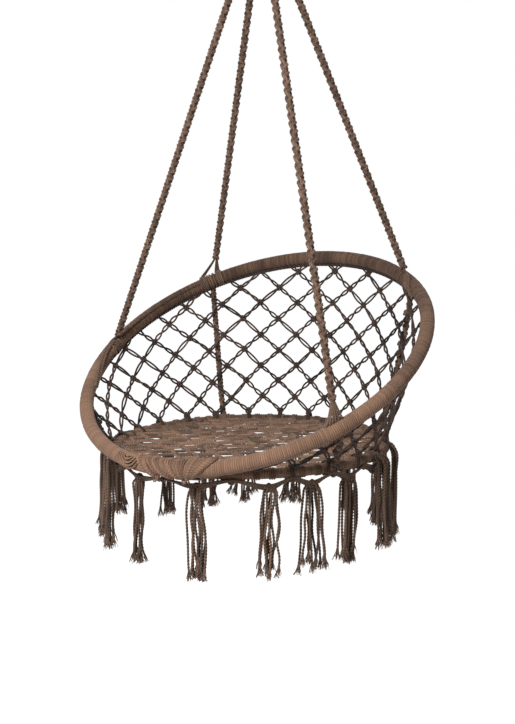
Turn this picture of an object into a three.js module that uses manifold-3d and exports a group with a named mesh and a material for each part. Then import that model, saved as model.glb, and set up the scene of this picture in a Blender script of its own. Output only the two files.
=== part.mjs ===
// Hammock chair: a tilted back hoop and a level seat hoop, joined by a cord net
// and hung by four ropes from a steel ring. Millimetres, +Z up, front towards -Y.
// The origin is the point where the hook bears, inside the top of the hanging ring.
import * as THREE from 'three';
import * as BufferGeometryUtils from 'three/addons/utils/BufferGeometryUtils.js';
import Module from 'manifold-3d';

const wasm = await Module();
wasm.setup();

const degree = Math.PI / 180;

// Hoops: steel tube, bent round and closed by a butt joint at the front
const backHoopRadius = 400;
const backTubeRadius = 10;
const seatHoopRadius = 303;
const seatTubeRadius = 7;
const tubeWall = 1;
const buttGap = 0.4;
const hoopTilt = 29.6 * degree;
const contactSlope = 20 * degree;

// Cord wound round the hoops
const backWrapThickness = 5.7;
const seatWrapThickness = 3.7;

// Clearances and the overrun of cutting shapes
const touchGap = 0.3;
const cutOverrun = 20;

// Hanging ring and the rope head on it
const hangingRingBore = 60;
const hangingWireRadius = 4;
const headDome = 12;
const headNeckRadius = 17;
const headMouthRadius = 22;
const headDrop = 84;
const collarTop = 22;
const collarBottom = 66;
const collarThickness = 5.7;

// How the chair hangs: where its ropes aim, and its pitch under its own weight
const aimBack = 88.5;
const aimHeight = 1194;
const aimBelowWire = 50;
const hangPitch = 3.63 * degree;

// Ropes and the cord sleeves that hold them
const ropeRadius = 8.5;
const ropeSpread = 9.2;
const lowerRopeRadius = 7.5;
const lowerRopeInset = 13;
const lowerRopeEndInset = 4;
const backSleeveThickness = 5;
const backSleeveWidth = 46;
const seatSleeveThickness = 4;
const seatSleeveWidth = 34;

// Places round the chair are angles from the rear, positive to the right
const ropePlaces = [
  { name: 'front_left', corner: [-1, -1], hoop: -92, lowerStart: -118, seat: -124 },
  { name: 'rear_left', corner: [-1, 1], hoop: -45, lowerStart: -45, seat: -46 },
  { name: 'front_right', corner: [1, -1], hoop: 125, lowerStart: 125, seat: 114 },
  { name: 'rear_right', corner: [1, 1], hoop: 41, lowerStart: 42, seat: 43 },
];

// Back net: rows of knots above the seat hoop
const backNetColumns = 24;
const backNetPhase = 3 * degree;
const backNetReach = 152 * degree;
const backNetRowPitch = 39.4;
const backNetFirstRow = 7.4;
const backNetCordWidth = 8;
const backNetThickness = 6;

// Seat net
const seatNetPitch = 60;
const seatNetRowPitch = 34;
const seatNetCordWidth = 11;
const seatNetThickness = 7;
const seatNetHeight = 2;

// Front lashings: each a cord wound round both hoops
const lashingAngles = [164, 175, -174, -163];
const lashingTurns = 5;
const lashingPitch = 10;
const lashingCordRadius = 3.5;
const lashingSlack = 0.6;

// Fringe: a scalloped cord under the seat hoop and the tassels on it
const fringeCordRadius = 3.5;
const fringeDrop = 18;
const tasselAngles = [168, 139, 122, 104, 87, 66, 44, 18, -12, -36, -54, -76, -98, -122, -142, -163];
const tasselLength = 205;
const tasselTopRadius = 8;
const tasselFootRadius = 14;
const tasselFlareShare = 1.45;

// Facets
const backHoopSteps = 44;
const seatHoopSteps = 36;
const backWrapSides = 12;
const seatWrapSides = 12;
const tubeSides = 8;
const boreSides = 6;
const ropeSides = 8;
const lowerRopeSteps = 6;
const lashingSteps = 10;
const windingSides = 5;
const fringeSides = 6;
const tasselSides = 8;
const roundSides = 16;
const hangingRingSteps = 24;
const eyeSteps = 6;

// Sizes worked out from the ones above
const backWrapBore = backTubeRadius + touchGap;
const backWrapRadius = backWrapBore + backWrapThickness;
const seatWrapBore = seatTubeRadius + touchGap;
const seatWrapRadius = seatWrapBore + seatWrapThickness;
const hoopSeparation = backWrapRadius + seatWrapRadius + touchGap;
const backSleeveRadius = backWrapRadius + touchGap + backSleeveThickness;
const seatSleeveRadius = seatWrapRadius + touchGap + seatSleeveThickness;
const wireLoopRadius = hangingRingBore / 2 + hangingWireRadius;
const wireHeight = -hangingRingBore - hangingWireRadius;
const headMouthHeight = wireHeight - headDrop;
const lashingWidth = lashingTurns * lashingPitch + 2 * lashingCordRadius;
const lashingRise = lashingSlack + lashingCordRadius;
const roundedShare = 1 / Math.cos(Math.PI / lashingSteps);
const lashingDepth = (seatWrapRadius + lashingRise) * roundedShare + lashingCordRadius;

// Materials
const cordColour = 0x8c6c58;
const cordRoughness = 0.92;
const steelColour = 0xa9abad;
const steelRoughness = 0.32;
const cordMaterial = new THREE.MeshStandardMaterial({
  color: cordColour, roughness: cordRoughness, metalness: 0,
});
const steelMaterial = new THREE.MeshStandardMaterial({
  color: steelColour, roughness: steelRoughness, metalness: 1,
});

// Groups: what hangs plumb from the ring, and the chair with its pitch
const hangingChair = new THREE.Group();
const chair = new THREE.Group();
chair.rotation.x = hangPitch;
const aimPoint = new THREE.Vector3(0, aimBack, aimHeight).applyAxisAngle(new THREE.Vector3(1, 0, 0), hangPitch);
chair.position.set(0, 0, wireHeight - aimBelowWire).sub(aimPoint);
chair.updateMatrix();
hangingChair.add(chair);

function toSolid(geometry) {
  const bare = geometry.clone();
  bare.deleteAttribute('normal');
  bare.deleteAttribute('uv');
  const merged = BufferGeometryUtils.mergeVertices(bare);
  const corners = merged.index.array;
  const triangles = [];
  for (let i = 0; i < corners.length; i += 3) {
    const [a, b, c] = [corners[i], corners[i + 1], corners[i + 2]];
    if (a !== b && b !== c && c !== a) triangles.push(a, b, c);
  }
  return new wasm.Manifold(new wasm.Mesh({
    numProp: 3,
    vertProperties: new Float32Array(merged.attributes.position.array),
    triVerts: new Uint32Array(triangles),
  }));
}

function toGeometry(solid) {
  const mesh = solid.getMesh();
  const geometry = new THREE.BufferGeometry();
  geometry.setAttribute('position', new THREE.BufferAttribute(new Float32Array(mesh.vertProperties), 3));
  geometry.setIndex(new THREE.BufferAttribute(new Uint32Array(mesh.triVerts), 1));
  geometry.computeVertexNormals();
  return geometry;
}

// A closed surface through rings of points that run anticlockwise as seen from
// the last ring
function skin(rings, closed) {
  const sides = rings[0].length;
  const faces = [];
  const spans = closed ? rings.length : rings.length - 1;
  for (let s = 0; s < spans; s += 1) {
    const here = s * sides;
    const next = ((s + 1) % rings.length) * sides;
    for (let i = 0; i < sides; i += 1) {
      const j = (i + 1) % sides;
      faces.push(here + i, here + j, next + j, here + i, next + j, next + i);
    }
  }
  if (!closed) {
    const last = (rings.length - 1) * sides;
    for (let i = 1; i < sides - 1; i += 1) faces.push(0, i + 1, i, last, last + i, last + i + 1);
  }
  const vertices = rings.flat().flatMap((point) => point.toArray());
  const geometry = new THREE.BufferGeometry();
  geometry.setAttribute('position', new THREE.Float32BufferAttribute(vertices, 3));
  geometry.setIndex(faces);
  return toSolid(geometry);
}

// A ring of points round a centre, from its first direction towards its second
function ringAround(centre, first, second, radius, sides) {
  const ring = [];
  for (let i = 0; i < sides; i += 1) {
    const turn = (i / sides) * 2 * Math.PI;
    ring.push(centre.clone()
      .addScaledVector(first, radius * Math.cos(turn))
      .addScaledVector(second, radius * Math.sin(turn)));
  }
  return ring;
}

function largestBody(solid) {
  const bodies = solid.decompose();
  return bodies.reduce((best, body) => (body.volume() > best.volume() ? body : best));
}

function without(solid, cutters) {
  return cutters.reduce((left, cutter) => left.subtract(cutter), solid);
}

function addPiece(parent, name, solid, material) {
  const mesh = new THREE.Mesh(toGeometry(solid), material);
  mesh.name = name;
  parent.add(mesh);
  return mesh;
}

// A box of the given size, turned to face a place on a hoop and moved there
function boxAtPlace(hoopRadius, angle, size) {
  const box = new THREE.BoxGeometry(size.x, size.y, size.z);
  box.translate(0, hoopRadius, 0);
  box.rotateZ(-angle);
  return box;
}

function torus(hoopRadius, sectionRadius, sides, steps) {
  return toSolid(new THREE.TorusGeometry(hoopRadius, sectionRadius, sides, steps));
}

// A closed hoop with a bore along it, cut through at the front by the butt gap
function hollowHoop(hoopRadius, outer, inner, sides, innerSides, steps) {
  const slit = new THREE.Vector3(buttGap, outer * 3, outer * 3);
  return torus(hoopRadius, outer, sides, steps)
    .subtract(torus(hoopRadius, inner, innerSides, steps))
    .subtract(toSolid(boxAtPlace(hoopRadius, Math.PI, slit)));
}

// The stretch of a hoop within a width at one place
function hoopStretch(hoopRadius, sectionRadius, sides, steps, angle, width) {
  const reach = new THREE.Vector3(width, sectionRadius * 3, sectionRadius * 3);
  return torus(hoopRadius, sectionRadius, sides, steps)
    .intersect(toSolid(boxAtPlace(hoopRadius, angle, reach)));
}

// Where the hoops lie in the chair: the seat hoop round its origin, and the back
// hoop leaning back from where it touches the seat hoop's front
const backHoopCentre = new THREE.Vector3(
  0,
  -seatHoopRadius - hoopSeparation * Math.cos(contactSlope) + backHoopRadius * Math.cos(hoopTilt),
  hoopSeparation * Math.sin(contactSlope) + backHoopRadius * Math.sin(hoopTilt),
);
const backHoopNormal = new THREE.Vector3(0, -Math.sin(hoopTilt), Math.cos(hoopTilt));
const backHoop = new THREE.Group();
backHoop.position.copy(backHoopCentre);
backHoop.rotation.x = hoopTilt;
backHoop.updateMatrix();
chair.add(backHoop);

function backPoint(angle) {
  const flat = new THREE.Vector3(Math.sin(angle), Math.cos(angle), 0);
  return flat.multiplyScalar(backHoopRadius).applyMatrix4(backHoop.matrix);
}

function seatPoint(angle) {
  return new THREE.Vector3(Math.sin(angle), Math.cos(angle), 0).multiplyScalar(seatHoopRadius);
}

// Solids in the back hoop's own frame, moved into the chair's frame
function inChair(solid) {
  return solid.transform(Array.from(backHoop.matrix.elements));
}

const backWrapKeepout = inChair(
  torus(backHoopRadius, backWrapRadius + touchGap, backWrapSides, backHoopSteps),
);
const seatWrapKeepout = torus(seatHoopRadius, seatWrapRadius + touchGap, seatWrapSides, seatHoopSteps);

function backSleeveBlank(place, growth) {
  return hoopStretch(
    backHoopRadius, backSleeveRadius + growth, backWrapSides, backHoopSteps,
    place.hoop * degree, backSleeveWidth + 2 * growth,
  );
}

function seatSleeveBlank(place, growth) {
  return hoopStretch(
    seatHoopRadius, seatSleeveRadius + growth, seatWrapSides, seatHoopSteps,
    place.seat * degree, seatSleeveWidth + 2 * growth,
  );
}

const backSleeveKeepouts = ropePlaces.map((place) => inChair(backSleeveBlank(place, touchGap)));
const seatSleeveKeepouts = ropePlaces.map((place) => seatSleeveBlank(place, touchGap));

function addHoops() {
  addPiece(backHoop, 'back_hoop_tube', hollowHoop(
    backHoopRadius, backTubeRadius, backTubeRadius - tubeWall, tubeSides, boreSides, backHoopSteps,
  ), steelMaterial);
  addPiece(backHoop, 'back_hoop_wrap', hollowHoop(
    backHoopRadius, backWrapRadius, backWrapBore, backWrapSides, tubeSides, backHoopSteps,
  ), cordMaterial);
  addPiece(chair, 'seat_hoop_tube', hollowHoop(
    seatHoopRadius, seatTubeRadius, seatTubeRadius - tubeWall, tubeSides, boreSides, seatHoopSteps,
  ), steelMaterial);
  addPiece(chair, 'seat_hoop_wrap', hollowHoop(
    seatHoopRadius, seatWrapRadius, seatWrapBore, seatWrapSides, tubeSides, seatHoopSteps,
  ), cordMaterial);
}

// Short sleeves of cord, wound over the hoops where the ropes are tied
function addSleeves() {
  const backWrapAround = torus(backHoopRadius, backWrapRadius + touchGap, backWrapSides, backHoopSteps);
  for (const place of ropePlaces) {
    const onBack = backSleeveBlank(place, 0).subtract(backWrapAround);
    addPiece(backHoop, `back_sleeve_${place.name}`, onBack, cordMaterial);
    const onSeat = seatSleeveBlank(place, 0).subtract(seatWrapKeepout);
    addPiece(chair, `seat_sleeve_${place.name}`, onSeat, cordMaterial);
  }
}

function addHangingRing() {
  const ring = new THREE.TorusGeometry(wireLoopRadius, hangingWireRadius, tubeSides, hangingRingSteps);
  const mesh = addPiece(hangingChair, 'hanging_ring', toSolid(ring), steelMaterial);
  mesh.rotation.x = Math.PI / 2;
  mesh.position.z = -hangingRingBore / 2;
}

// The eye that lets the rope head swing on the curved wire: a waisted hole along X
// that clears the wire's inner edge
function swingEye() {
  const reach = headNeckRadius + touchGap;
  const innerEdge = wireLoopRadius - hangingWireRadius;
  const profile = [new THREE.Vector2(0, -reach)];
  for (let i = 0; i <= eyeSteps; i += 1) {
    const along = reach * ((2 * i) / eyeSteps - 1);
    const clear = wireLoopRadius - Math.sqrt(innerEdge ** 2 - along ** 2) + touchGap;
    profile.push(new THREE.Vector2(clear / Math.cos(Math.PI / roundSides), along));
  }
  profile.push(new THREE.Vector2(0, reach));
  const eye = new THREE.LatheGeometry(profile, roundSides);
  eye.rotateZ(-Math.PI / 2);
  eye.translate(0, 0, wireHeight);
  return toSolid(eye);
}

// The four ropes' bundle, folded over the ring's wire and wound together below it
function addRopeHead() {
  const profile = [
    [0, -headDrop],
    [headMouthRadius, -headDrop],
    [headNeckRadius, -collarBottom - (headDrop - collarBottom) / 3],
    [headNeckRadius, 0],
    [headNeckRadius * 0.75, headDome * 0.7],
    [headNeckRadius * 0.35, headDome],
    [0, headDome],
  ].map(([radius, height]) => new THREE.Vector2(radius, height));
  const head = new THREE.LatheGeometry(profile, roundSides);
  head.rotateX(Math.PI / 2);
  head.translate(0, 0, wireHeight);
  addPiece(hangingChair, 'rope_head', toSolid(head).subtract(swingEye()), cordMaterial);

  const collarBore = headNeckRadius + touchGap;
  const collarRadius = collarBore + collarThickness;
  const section = [
    [collarBore, -collarBottom],
    [collarRadius, -collarBottom],
    [collarRadius, -collarTop],
    [collarBore, -collarTop],
    [collarBore, -collarBottom],
  ].map(([radius, height]) => new THREE.Vector2(radius, height));
  const collar = new THREE.LatheGeometry(section, roundSides);
  collar.rotateX(Math.PI / 2);
  collar.translate(0, 0, wireHeight);
  addPiece(hangingChair, 'head_collar', toSolid(collar), cordMaterial);
}

function roundSection(radius, sides) {
  const outline = [];
  for (let i = 0; i < sides; i += 1) {
    const turn = (i / sides) * 2 * Math.PI;
    outline.push(new THREE.Vector2(radius * Math.cos(turn), radius * Math.sin(turn)));
  }
  return new THREE.Shape(outline);
}

function tubeAlong(curve, radius, sides, steps) {
  return toSolid(new THREE.ExtrudeGeometry(roundSection(radius, sides), {
    extrudePath: curve, steps, bevelEnabled: false,
  }));
}

// Taut ropes from the mouth of the rope head to the back hoop
function addSuspensionRopes() {
  const toChair = chair.matrix.clone().invert();
  const aboveMouth = new THREE.BoxGeometry(headDrop, headDrop, headDrop);
  aboveMouth.translate(0, 0, headMouthHeight - touchGap + headDrop / 2);
  aboveMouth.applyMatrix4(toChair);
  const headCutter = toSolid(aboveMouth);
  for (const place of ropePlaces) {
    const end = backPoint(place.hoop * degree);
    const start = new THREE.Vector3(
      place.corner[0] * ropeSpread, place.corner[1] * ropeSpread, headMouthHeight,
    ).applyMatrix4(toChair);
    start.addScaledVector(start.clone().sub(end).normalize(), cutOverrun);
    const rope = tubeAlong(new THREE.LineCurve3(start, end), ropeRadius, ropeSides, 1);
    const trimmed = without(rope, [headCutter, backWrapKeepout, ...backSleeveKeepouts]);
    addPiece(chair, `rope_${place.name}`, largestBody(trimmed), cordMaterial);
  }
}

// The net's surface: straight fall lines from the back hoop to the seat hoop
function fallLine(angle) {
  const foot = seatPoint(angle);
  const along = backPoint(angle).sub(foot);
  const length = along.length();
  along.normalize();
  return { foot, along, rise: length - backWrapRadius - seatWrapRadius };
}

function netPoint(angle, height) {
  const line = fallLine(angle);
  return line.foot.addScaledVector(line.along, seatWrapRadius + height);
}

function netNormal(angle, height) {
  const step = degree / 4;
  const round = netPoint(angle + step, height).sub(netPoint(angle - step, height));
  return round.cross(fallLine(angle).along).normalize();
}

// Ropes from the back hoop down to the seat hoop, just inside the net
function lowerRopeCurve(place) {
  const stations = [[0, lowerRopeEndInset], [0.2, lowerRopeInset], [0.8, lowerRopeInset], [1, lowerRopeEndInset]];
  const points = stations.map(([share, inset]) => {
    const angle = THREE.MathUtils.lerp(place.lowerStart, place.seat, share) * degree;
    const height = THREE.MathUtils.lerp(
      fallLine(angle).rise + backWrapRadius, -seatWrapRadius, share,
    );
    return netPoint(angle, height).addScaledVector(netNormal(angle, height), -inset);
  });
  return new THREE.CatmullRomCurve3(points);
}

function lowerRopeBlank(place, growth) {
  return tubeAlong(lowerRopeCurve(place), lowerRopeRadius + growth, ropeSides, lowerRopeSteps);
}

function addLowerRopes() {
  for (const place of ropePlaces) {
    const trimmed = without(lowerRopeBlank(place, 0), [
      backWrapKeepout, ...backSleeveKeepouts, seatWrapKeepout, ...seatSleeveKeepouts,
    ]);
    addPiece(chair, `lower_rope_${place.name}`, largestBody(trimmed), cordMaterial);
  }
}

// A net of flat cords with a knot wherever they meet. Each knot has a point and a
// normal, and each leg joins two knots by their places in the list.
function netSolid(knots, legs, width, thickness) {
  const spokes = knots.map(() => []);
  for (const [a, b] of legs) {
    spokes[a].push({ to: b });
    spokes[b].push({ to: a });
  }
  const vertices = [];
  const faces = [];
  const addCorner = (knot, offset) => {
    const middle = knot.point.clone().add(offset);
    for (const side of [1, -1]) {
      const at = middle.clone().addScaledVector(knot.normal, (side * thickness) / 2);
      vertices.push(at.x, at.y, at.z);
    }
    return vertices.length / 3 - 2;
  };
  const quad = (a, b, c, d) => faces.push(a, b, c, a, c, d);

  knots.forEach((knot, index) => {
    const around = spokes[index];
    if (around.length === 0) return;
    const east = knots[around[0].to].point.clone().sub(knot.point).projectOnPlane(knot.normal).normalize();
    const north = knot.normal.clone().cross(east);
    for (const spoke of around) {
      const away = knots[spoke.to].point.clone().sub(knot.point);
      spoke.turn = (Math.atan2(away.dot(north), away.dot(east)) + 2 * Math.PI) % (2 * Math.PI);
    }
    around.sort((a, b) => a.turn - b.turn);
    const offset = (turn, distance) => east.clone().multiplyScalar(Math.cos(turn) * distance)
      .addScaledVector(north, Math.sin(turn) * distance);
    if (around.length === 1) {
      const [only] = around;
      only.left = addCorner(knot, offset(only.turn + Math.PI / 2, width / 2));
      only.right = addCorner(knot, offset(only.turn - Math.PI / 2, width / 2));
      quad(only.left + 1, only.right + 1, only.right, only.left);
      return;
    }
    around.forEach((spoke, i) => {
      const next = around[(i + 1) % around.length];
      const gap = (next.turn - spoke.turn + 2 * Math.PI) % (2 * Math.PI);
      const corner = addCorner(knot, offset(spoke.turn + gap / 2, width / 2 / Math.sin(gap / 2)));
      spoke.left = corner;
      next.right = corner;
    });
    for (let i = 1; i < around.length - 1; i += 1) {
      const [a, b, c] = [around[0].left, around[i].left, around[i + 1].left];
      faces.push(a, b, c, a + 1, c + 1, b + 1);
    }
  });

  for (const [a, b] of legs) {
    const near = spokes[a].find((spoke) => spoke.to === b);
    const far = spokes[b].find((spoke) => spoke.to === a);
    quad(near.right, far.left, far.right, near.left);
    quad(near.right + 1, near.left + 1, far.right + 1, far.left + 1);
    quad(near.right + 1, far.left + 1, far.left, near.right);
    quad(far.right + 1, near.left + 1, near.left, far.right);
  }
  const geometry = new THREE.BufferGeometry();
  geometry.setAttribute('position', new THREE.Float32BufferAttribute(vertices, 3));
  geometry.setIndex(faces);
  return toSolid(geometry);
}

// Knots in rows, each row half a pitch from the next, with a leg to each
// neighbour in the row above
function latticeNet(rows, columnsOf, keeps, knotAt, width, thickness) {
  const knots = [];
  const legs = [];
  const places = new Map();
  for (let row = 0; row < rows; row += 1) {
    for (const column of columnsOf(row)) {
      if (keeps(row, column)) {
        places.set(`${row} ${column}`, knots.length);
        knots.push(knotAt(row, column));
        for (const side of [-0.5, 0.5]) {
          const below = places.get(`${row - 1} ${column + side}`);
          if (below !== undefined) legs.push([below, knots.length - 1]);
        }
      }
    }
  }
  return netSolid(knots, legs, width, thickness);
}

function columnRange(first, last, shift) {
  const columns = [];
  for (let column = Math.ceil(first); column <= Math.floor(last); column += 1) columns.push(column + shift);
  return columns;
}

function addBackNet() {
  const pitch = (2 * Math.PI) / backNetColumns;
  const reach = backNetReach / pitch;
  const angleOf = (column) => backNetPhase + column * pitch;
  const heightOf = (row) => backNetFirstRow + row * backNetRowPitch;
  const rows = Math.ceil((fallLine(0).rise + backWrapRadius) / backNetRowPitch) + 1;
  const keeps = (row, column) => (
    Math.abs(angleOf(column)) < backNetReach
    && heightOf(row) < fallLine(angleOf(column)).rise + backWrapRadius + backNetRowPitch
  );
  const net = latticeNet(
    rows,
    (row) => columnRange(-reach, reach, row % 2 === 0 ? -0.5 : 0),
    keeps,
    (row, column) => ({
      point: netPoint(angleOf(column), heightOf(row)),
      normal: netNormal(angleOf(column), heightOf(row)),
    }),
    backNetCordWidth,
    backNetThickness,
  );
  const trimmed = without(net, [
    backWrapKeepout, ...backSleeveKeepouts, seatWrapKeepout, ...seatSleeveKeepouts,
    ...ropePlaces.map((place) => lowerRopeBlank(place, touchGap)), ...lashingKeepouts,
  ]);
  addPiece(chair, 'back_net', largestBody(trimmed), cordMaterial);
}

function addSeatNet() {
  const rows = 2 * Math.ceil(seatHoopRadius / seatNetRowPitch) + 1;
  const columns = Math.ceil(seatHoopRadius / seatNetPitch) + 1;
  const middleRow = (rows - 1) / 2;
  const pointOf = (row, column) => new THREE.Vector3(
    column * seatNetPitch, (row - middleRow) * seatNetRowPitch, seatNetHeight,
  );
  const net = latticeNet(
    rows,
    (row) => columnRange(-columns, columns, row % 2 === 0 ? 0.5 : 0),
    (row, column) => pointOf(row, column).length() < seatHoopRadius + seatNetPitch / 2,
    (row, column) => ({ point: pointOf(row, column), normal: new THREE.Vector3(0, 0, 1) }),
    seatNetCordWidth,
    seatNetThickness,
  );
  const inside = new THREE.CylinderGeometry(seatHoopRadius, seatHoopRadius, cutOverrun, seatHoopSteps);
  inside.rotateX(Math.PI / 2);
  const trimmed = without(net.intersect(toSolid(inside)), [
    seatWrapKeepout, ...seatSleeveKeepouts, ...lashingKeepouts,
    ...ropePlaces.map((place) => lowerRopeBlank(place, touchGap)),
  ]);
  addPiece(chair, 'seat_net', largestBody(trimmed), cordMaterial);
}

// The centre of the back hoop's section nearest to a place on the seat hoop
function nearestBackPoint(place) {
  const offset = place.clone().sub(backHoopCentre).projectOnPlane(backHoopNormal);
  return offset.setLength(backHoopRadius).add(backHoopCentre);
}

// A point of the outline drawn tight round both hoops' sections at a place, so many
// steps round from under them. The outline's straight steps clear the round wraps.
function outlinePoint(station, step, outward) {
  const turn = (step / lashingSteps) * 2 * Math.PI - Math.PI / 2;
  const low = seatPoint(station);
  const high = nearestBackPoint(low);
  const tangent = new THREE.Vector3(Math.cos(station), -Math.sin(station), 0);
  const across = high.clone().sub(low).projectOnPlane(tangent).normalize();
  const up = tangent.clone().cross(across);
  const away = across.multiplyScalar(Math.cos(turn)).addScaledVector(up, Math.sin(turn));
  const onSeat = low.addScaledVector(away, (seatWrapRadius + outward) * roundedShare);
  const onBack = high.addScaledVector(away, (backWrapRadius + outward) * roundedShare);
  return { point: onBack.dot(away) > onSeat.dot(away) ? onBack : onSeat, away, tangent };
}

// The space that a lashing fills, as one loft round both hoops
function lashingSpace(angle, growth) {
  const outward = lashingRise + lashingCordRadius + growth;
  const halfTurn = (lashingWidth / 2 + growth) / seatHoopRadius;
  const rings = [-halfTurn, 0, halfTurn].map((offset) => {
    const ring = [];
    for (let i = 0; i < lashingSteps; i += 1) {
      ring.push(outlinePoint(angle + offset, i, outward).point);
    }
    return ring;
  });
  return skin(rings, false);
}

const lashingKeepouts = lashingAngles.map((angle) => lashingSpace(angle * degree, touchGap));

// The winding itself, from under the hoops at one side to under them at the other
function lashingStations(angle) {
  const stations = [];
  const steps = lashingTurns * lashingSteps;
  for (let i = 0; i <= steps; i += 1) {
    const station = angle + ((i / steps - 0.5) * lashingTurns * lashingPitch) / seatHoopRadius;
    stations.push(outlinePoint(station, i, lashingRise));
  }
  return stations;
}

function leastGapToItself(stations) {
  let least = Infinity;
  for (let i = 0; i < stations.length; i += 1) {
    for (let j = i + lashingSteps / 2; j < stations.length; j += 1) {
      least = Math.min(least, stations[i].point.distanceTo(stations[j].point));
    }
  }
  return least - 2 * lashingCordRadius;
}

function addLashings() {
  lashingAngles.forEach((angle, index) => {
    const name = `front_lashing_${index + 1}`;
    const stations = lashingStations(angle * degree);
    const rings = stations.map((station) => ringAround(
      station.point, station.away, station.tangent.clone().negate(), lashingCordRadius, windingSides,
    ));
    addPiece(chair, name, skin(rings, false), cordMaterial);
    console.log(`${name}: least gap to itself ${leastGapToItself(stations).toFixed(1)} mm`);
  });
}

// What the fringe cord hangs under at a place: the wrap, a sleeve or a lashing
function undersideAt(angle) {
  const isNear = (place, width) => {
    const turn = Math.abs(THREE.MathUtils.euclideanModulo(angle - place * degree + Math.PI, 2 * Math.PI) - Math.PI);
    return turn * seatHoopRadius < width / 2 + 4 * fringeCordRadius;
  };
  if (lashingAngles.some((place) => isNear(place, lashingWidth))) return lashingDepth;
  return ropePlaces.some((place) => isNear(place.seat, seatSleeveWidth)) ? seatSleeveRadius : seatWrapRadius;
}

function fringeCentre(angle, drop) {
  return seatPoint(angle).add(new THREE.Vector3(0, 0, -drop - touchGap - fringeCordRadius));
}

// One cord all round, tied up under the seat hoop between the tassels
function fringeCurve() {
  const places = [...tasselAngles].sort((a, b) => a - b);
  const points = [];
  places.forEach((angle, index) => {
    const next = index + 1 < places.length ? places[index + 1] : places[0] + 360;
    const tie = ((angle + next) / 2) * degree;
    points.push(fringeCentre(angle * degree, seatWrapRadius + fringeDrop));
    points.push(fringeCentre(tie, undersideAt(tie)));
  });
  return new THREE.CatmullRomCurve3(points, true);
}

function addFringe() {
  const curve = fringeCurve();
  const steps = 4 * tasselAngles.length;
  const rings = [];
  for (let s = 0; s < steps; s += 1) {
    const along = curve.getTangent(s / steps);
    const above = new THREE.Vector3(0, 0, 1).projectOnPlane(along).normalize();
    rings.push(ringAround(curve.getPoint(s / steps), above, along.cross(above), fringeCordRadius, fringeSides));
  }
  addPiece(chair, 'fringe_cord', skin(rings, true), cordMaterial);

  const profile = [
    [0, 0], [tasselTopRadius * 0.7, 0], [tasselTopRadius, -tasselLength * 0.06],
    [(tasselTopRadius + tasselFootRadius) / 2, -tasselLength * 0.6],
    [tasselFootRadius, -tasselLength], [0, -tasselLength],
  ].map(([radius, height]) => new THREE.Vector2(radius, height)).reverse();
  const bundle = new THREE.LatheGeometry(profile, tasselSides);
  bundle.rotateX(Math.PI / 2);
  bundle.scale(tasselFlareShare, 1, 1);
  const tassel = toSolid(bundle);
  tasselAngles.forEach((angle, index) => {
    const plumb = new THREE.Group();
    plumb.position.copy(fringeCentre(angle * degree, seatWrapRadius + fringeDrop));
    plumb.position.z -= fringeCordRadius + touchGap;
    plumb.rotation.x = -hangPitch;
    chair.add(plumb);
    const number = String(index + 1).padStart(2, '0');
    const mesh = addPiece(plumb, `tassel_${number}`, tassel, cordMaterial);
    mesh.rotation.z = -angle * degree;
  });
}

addHangingRing();
addRopeHead();
addSuspensionRopes();
addHoops();
addSleeves();
addLowerRopes();
addBackNet();
addSeatNet();
addLashings();
addFringe();

export default hangingChair;
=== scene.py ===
"""Hammock chair: two steel hoops wound with cord, a knotted net between them, four braided
ropes up to a steel ring, and a fringe of tassels under the seat.

Metres, +Z up, front towards -Y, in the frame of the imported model.
"""

from __future__ import annotations

import logging
import math
from dataclasses import dataclass
from enum import Enum

import bpy
import numpy as np
from mathutils import Matrix, Vector

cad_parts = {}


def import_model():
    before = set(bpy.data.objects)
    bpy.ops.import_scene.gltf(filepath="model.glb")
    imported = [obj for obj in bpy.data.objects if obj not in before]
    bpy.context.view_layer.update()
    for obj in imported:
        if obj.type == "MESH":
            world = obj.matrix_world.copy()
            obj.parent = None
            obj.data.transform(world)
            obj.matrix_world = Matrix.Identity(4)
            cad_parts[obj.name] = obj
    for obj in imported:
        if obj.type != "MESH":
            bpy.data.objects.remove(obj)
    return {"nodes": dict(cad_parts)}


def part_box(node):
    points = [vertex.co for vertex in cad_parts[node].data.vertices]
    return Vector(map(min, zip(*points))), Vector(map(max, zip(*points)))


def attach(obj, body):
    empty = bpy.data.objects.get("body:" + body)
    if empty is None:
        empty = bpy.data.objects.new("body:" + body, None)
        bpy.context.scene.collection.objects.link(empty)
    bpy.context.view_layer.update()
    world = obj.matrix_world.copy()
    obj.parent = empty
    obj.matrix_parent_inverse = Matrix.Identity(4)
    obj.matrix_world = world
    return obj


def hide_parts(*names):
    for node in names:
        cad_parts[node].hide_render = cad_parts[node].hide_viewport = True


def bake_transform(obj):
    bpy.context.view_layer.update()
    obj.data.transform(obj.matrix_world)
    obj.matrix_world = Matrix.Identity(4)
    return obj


LOG = logging.getLogger("hammock_chair")
MM = 0.001
TURN = 2 * math.pi
UP = np.array([0.0, 0.0, 1.0])
NEARLY_UP = np.array([0.0, 0.01, 1.0])
STEEP = 0.8
Colour = tuple[float, float, float, float]
Pair = tuple[float, float]
Array = np.ndarray
Places = Array | float
Knots = dict[tuple[int, float], Array]


class Body(str, Enum):
    """The bodies that move on their own."""

    HANGER = "hanger"
    FRAME = "frame"
    SEAT = "seat"


class Slot(str, Enum):
    """The names of the material slots. No piece here takes its finish from them."""

    WOUND = "wound_cord"
    NET = "net_cord"
    ROPE = "rope"
    FRINGE = "fringe_cord"
    RING = "ring_steel"
    TUBE = "tube_steel"


def unit(vectors: Array) -> Array:
    """Vectors of length one along the given ones."""
    return vectors / np.linalg.norm(vectors, axis=-1, keepdims=True)


def dot(first: Array, second: Array) -> Array:
    """Scalar products over the last axis, which is kept."""
    return (first * second).sum(-1, keepdims=True)


def ease(share: Places) -> Array:
    """Shares cut to between 0 and 1 that start and end slowly."""
    share = np.clip(share, 0, 1)
    return share * share * (3 - 2 * share)


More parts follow.
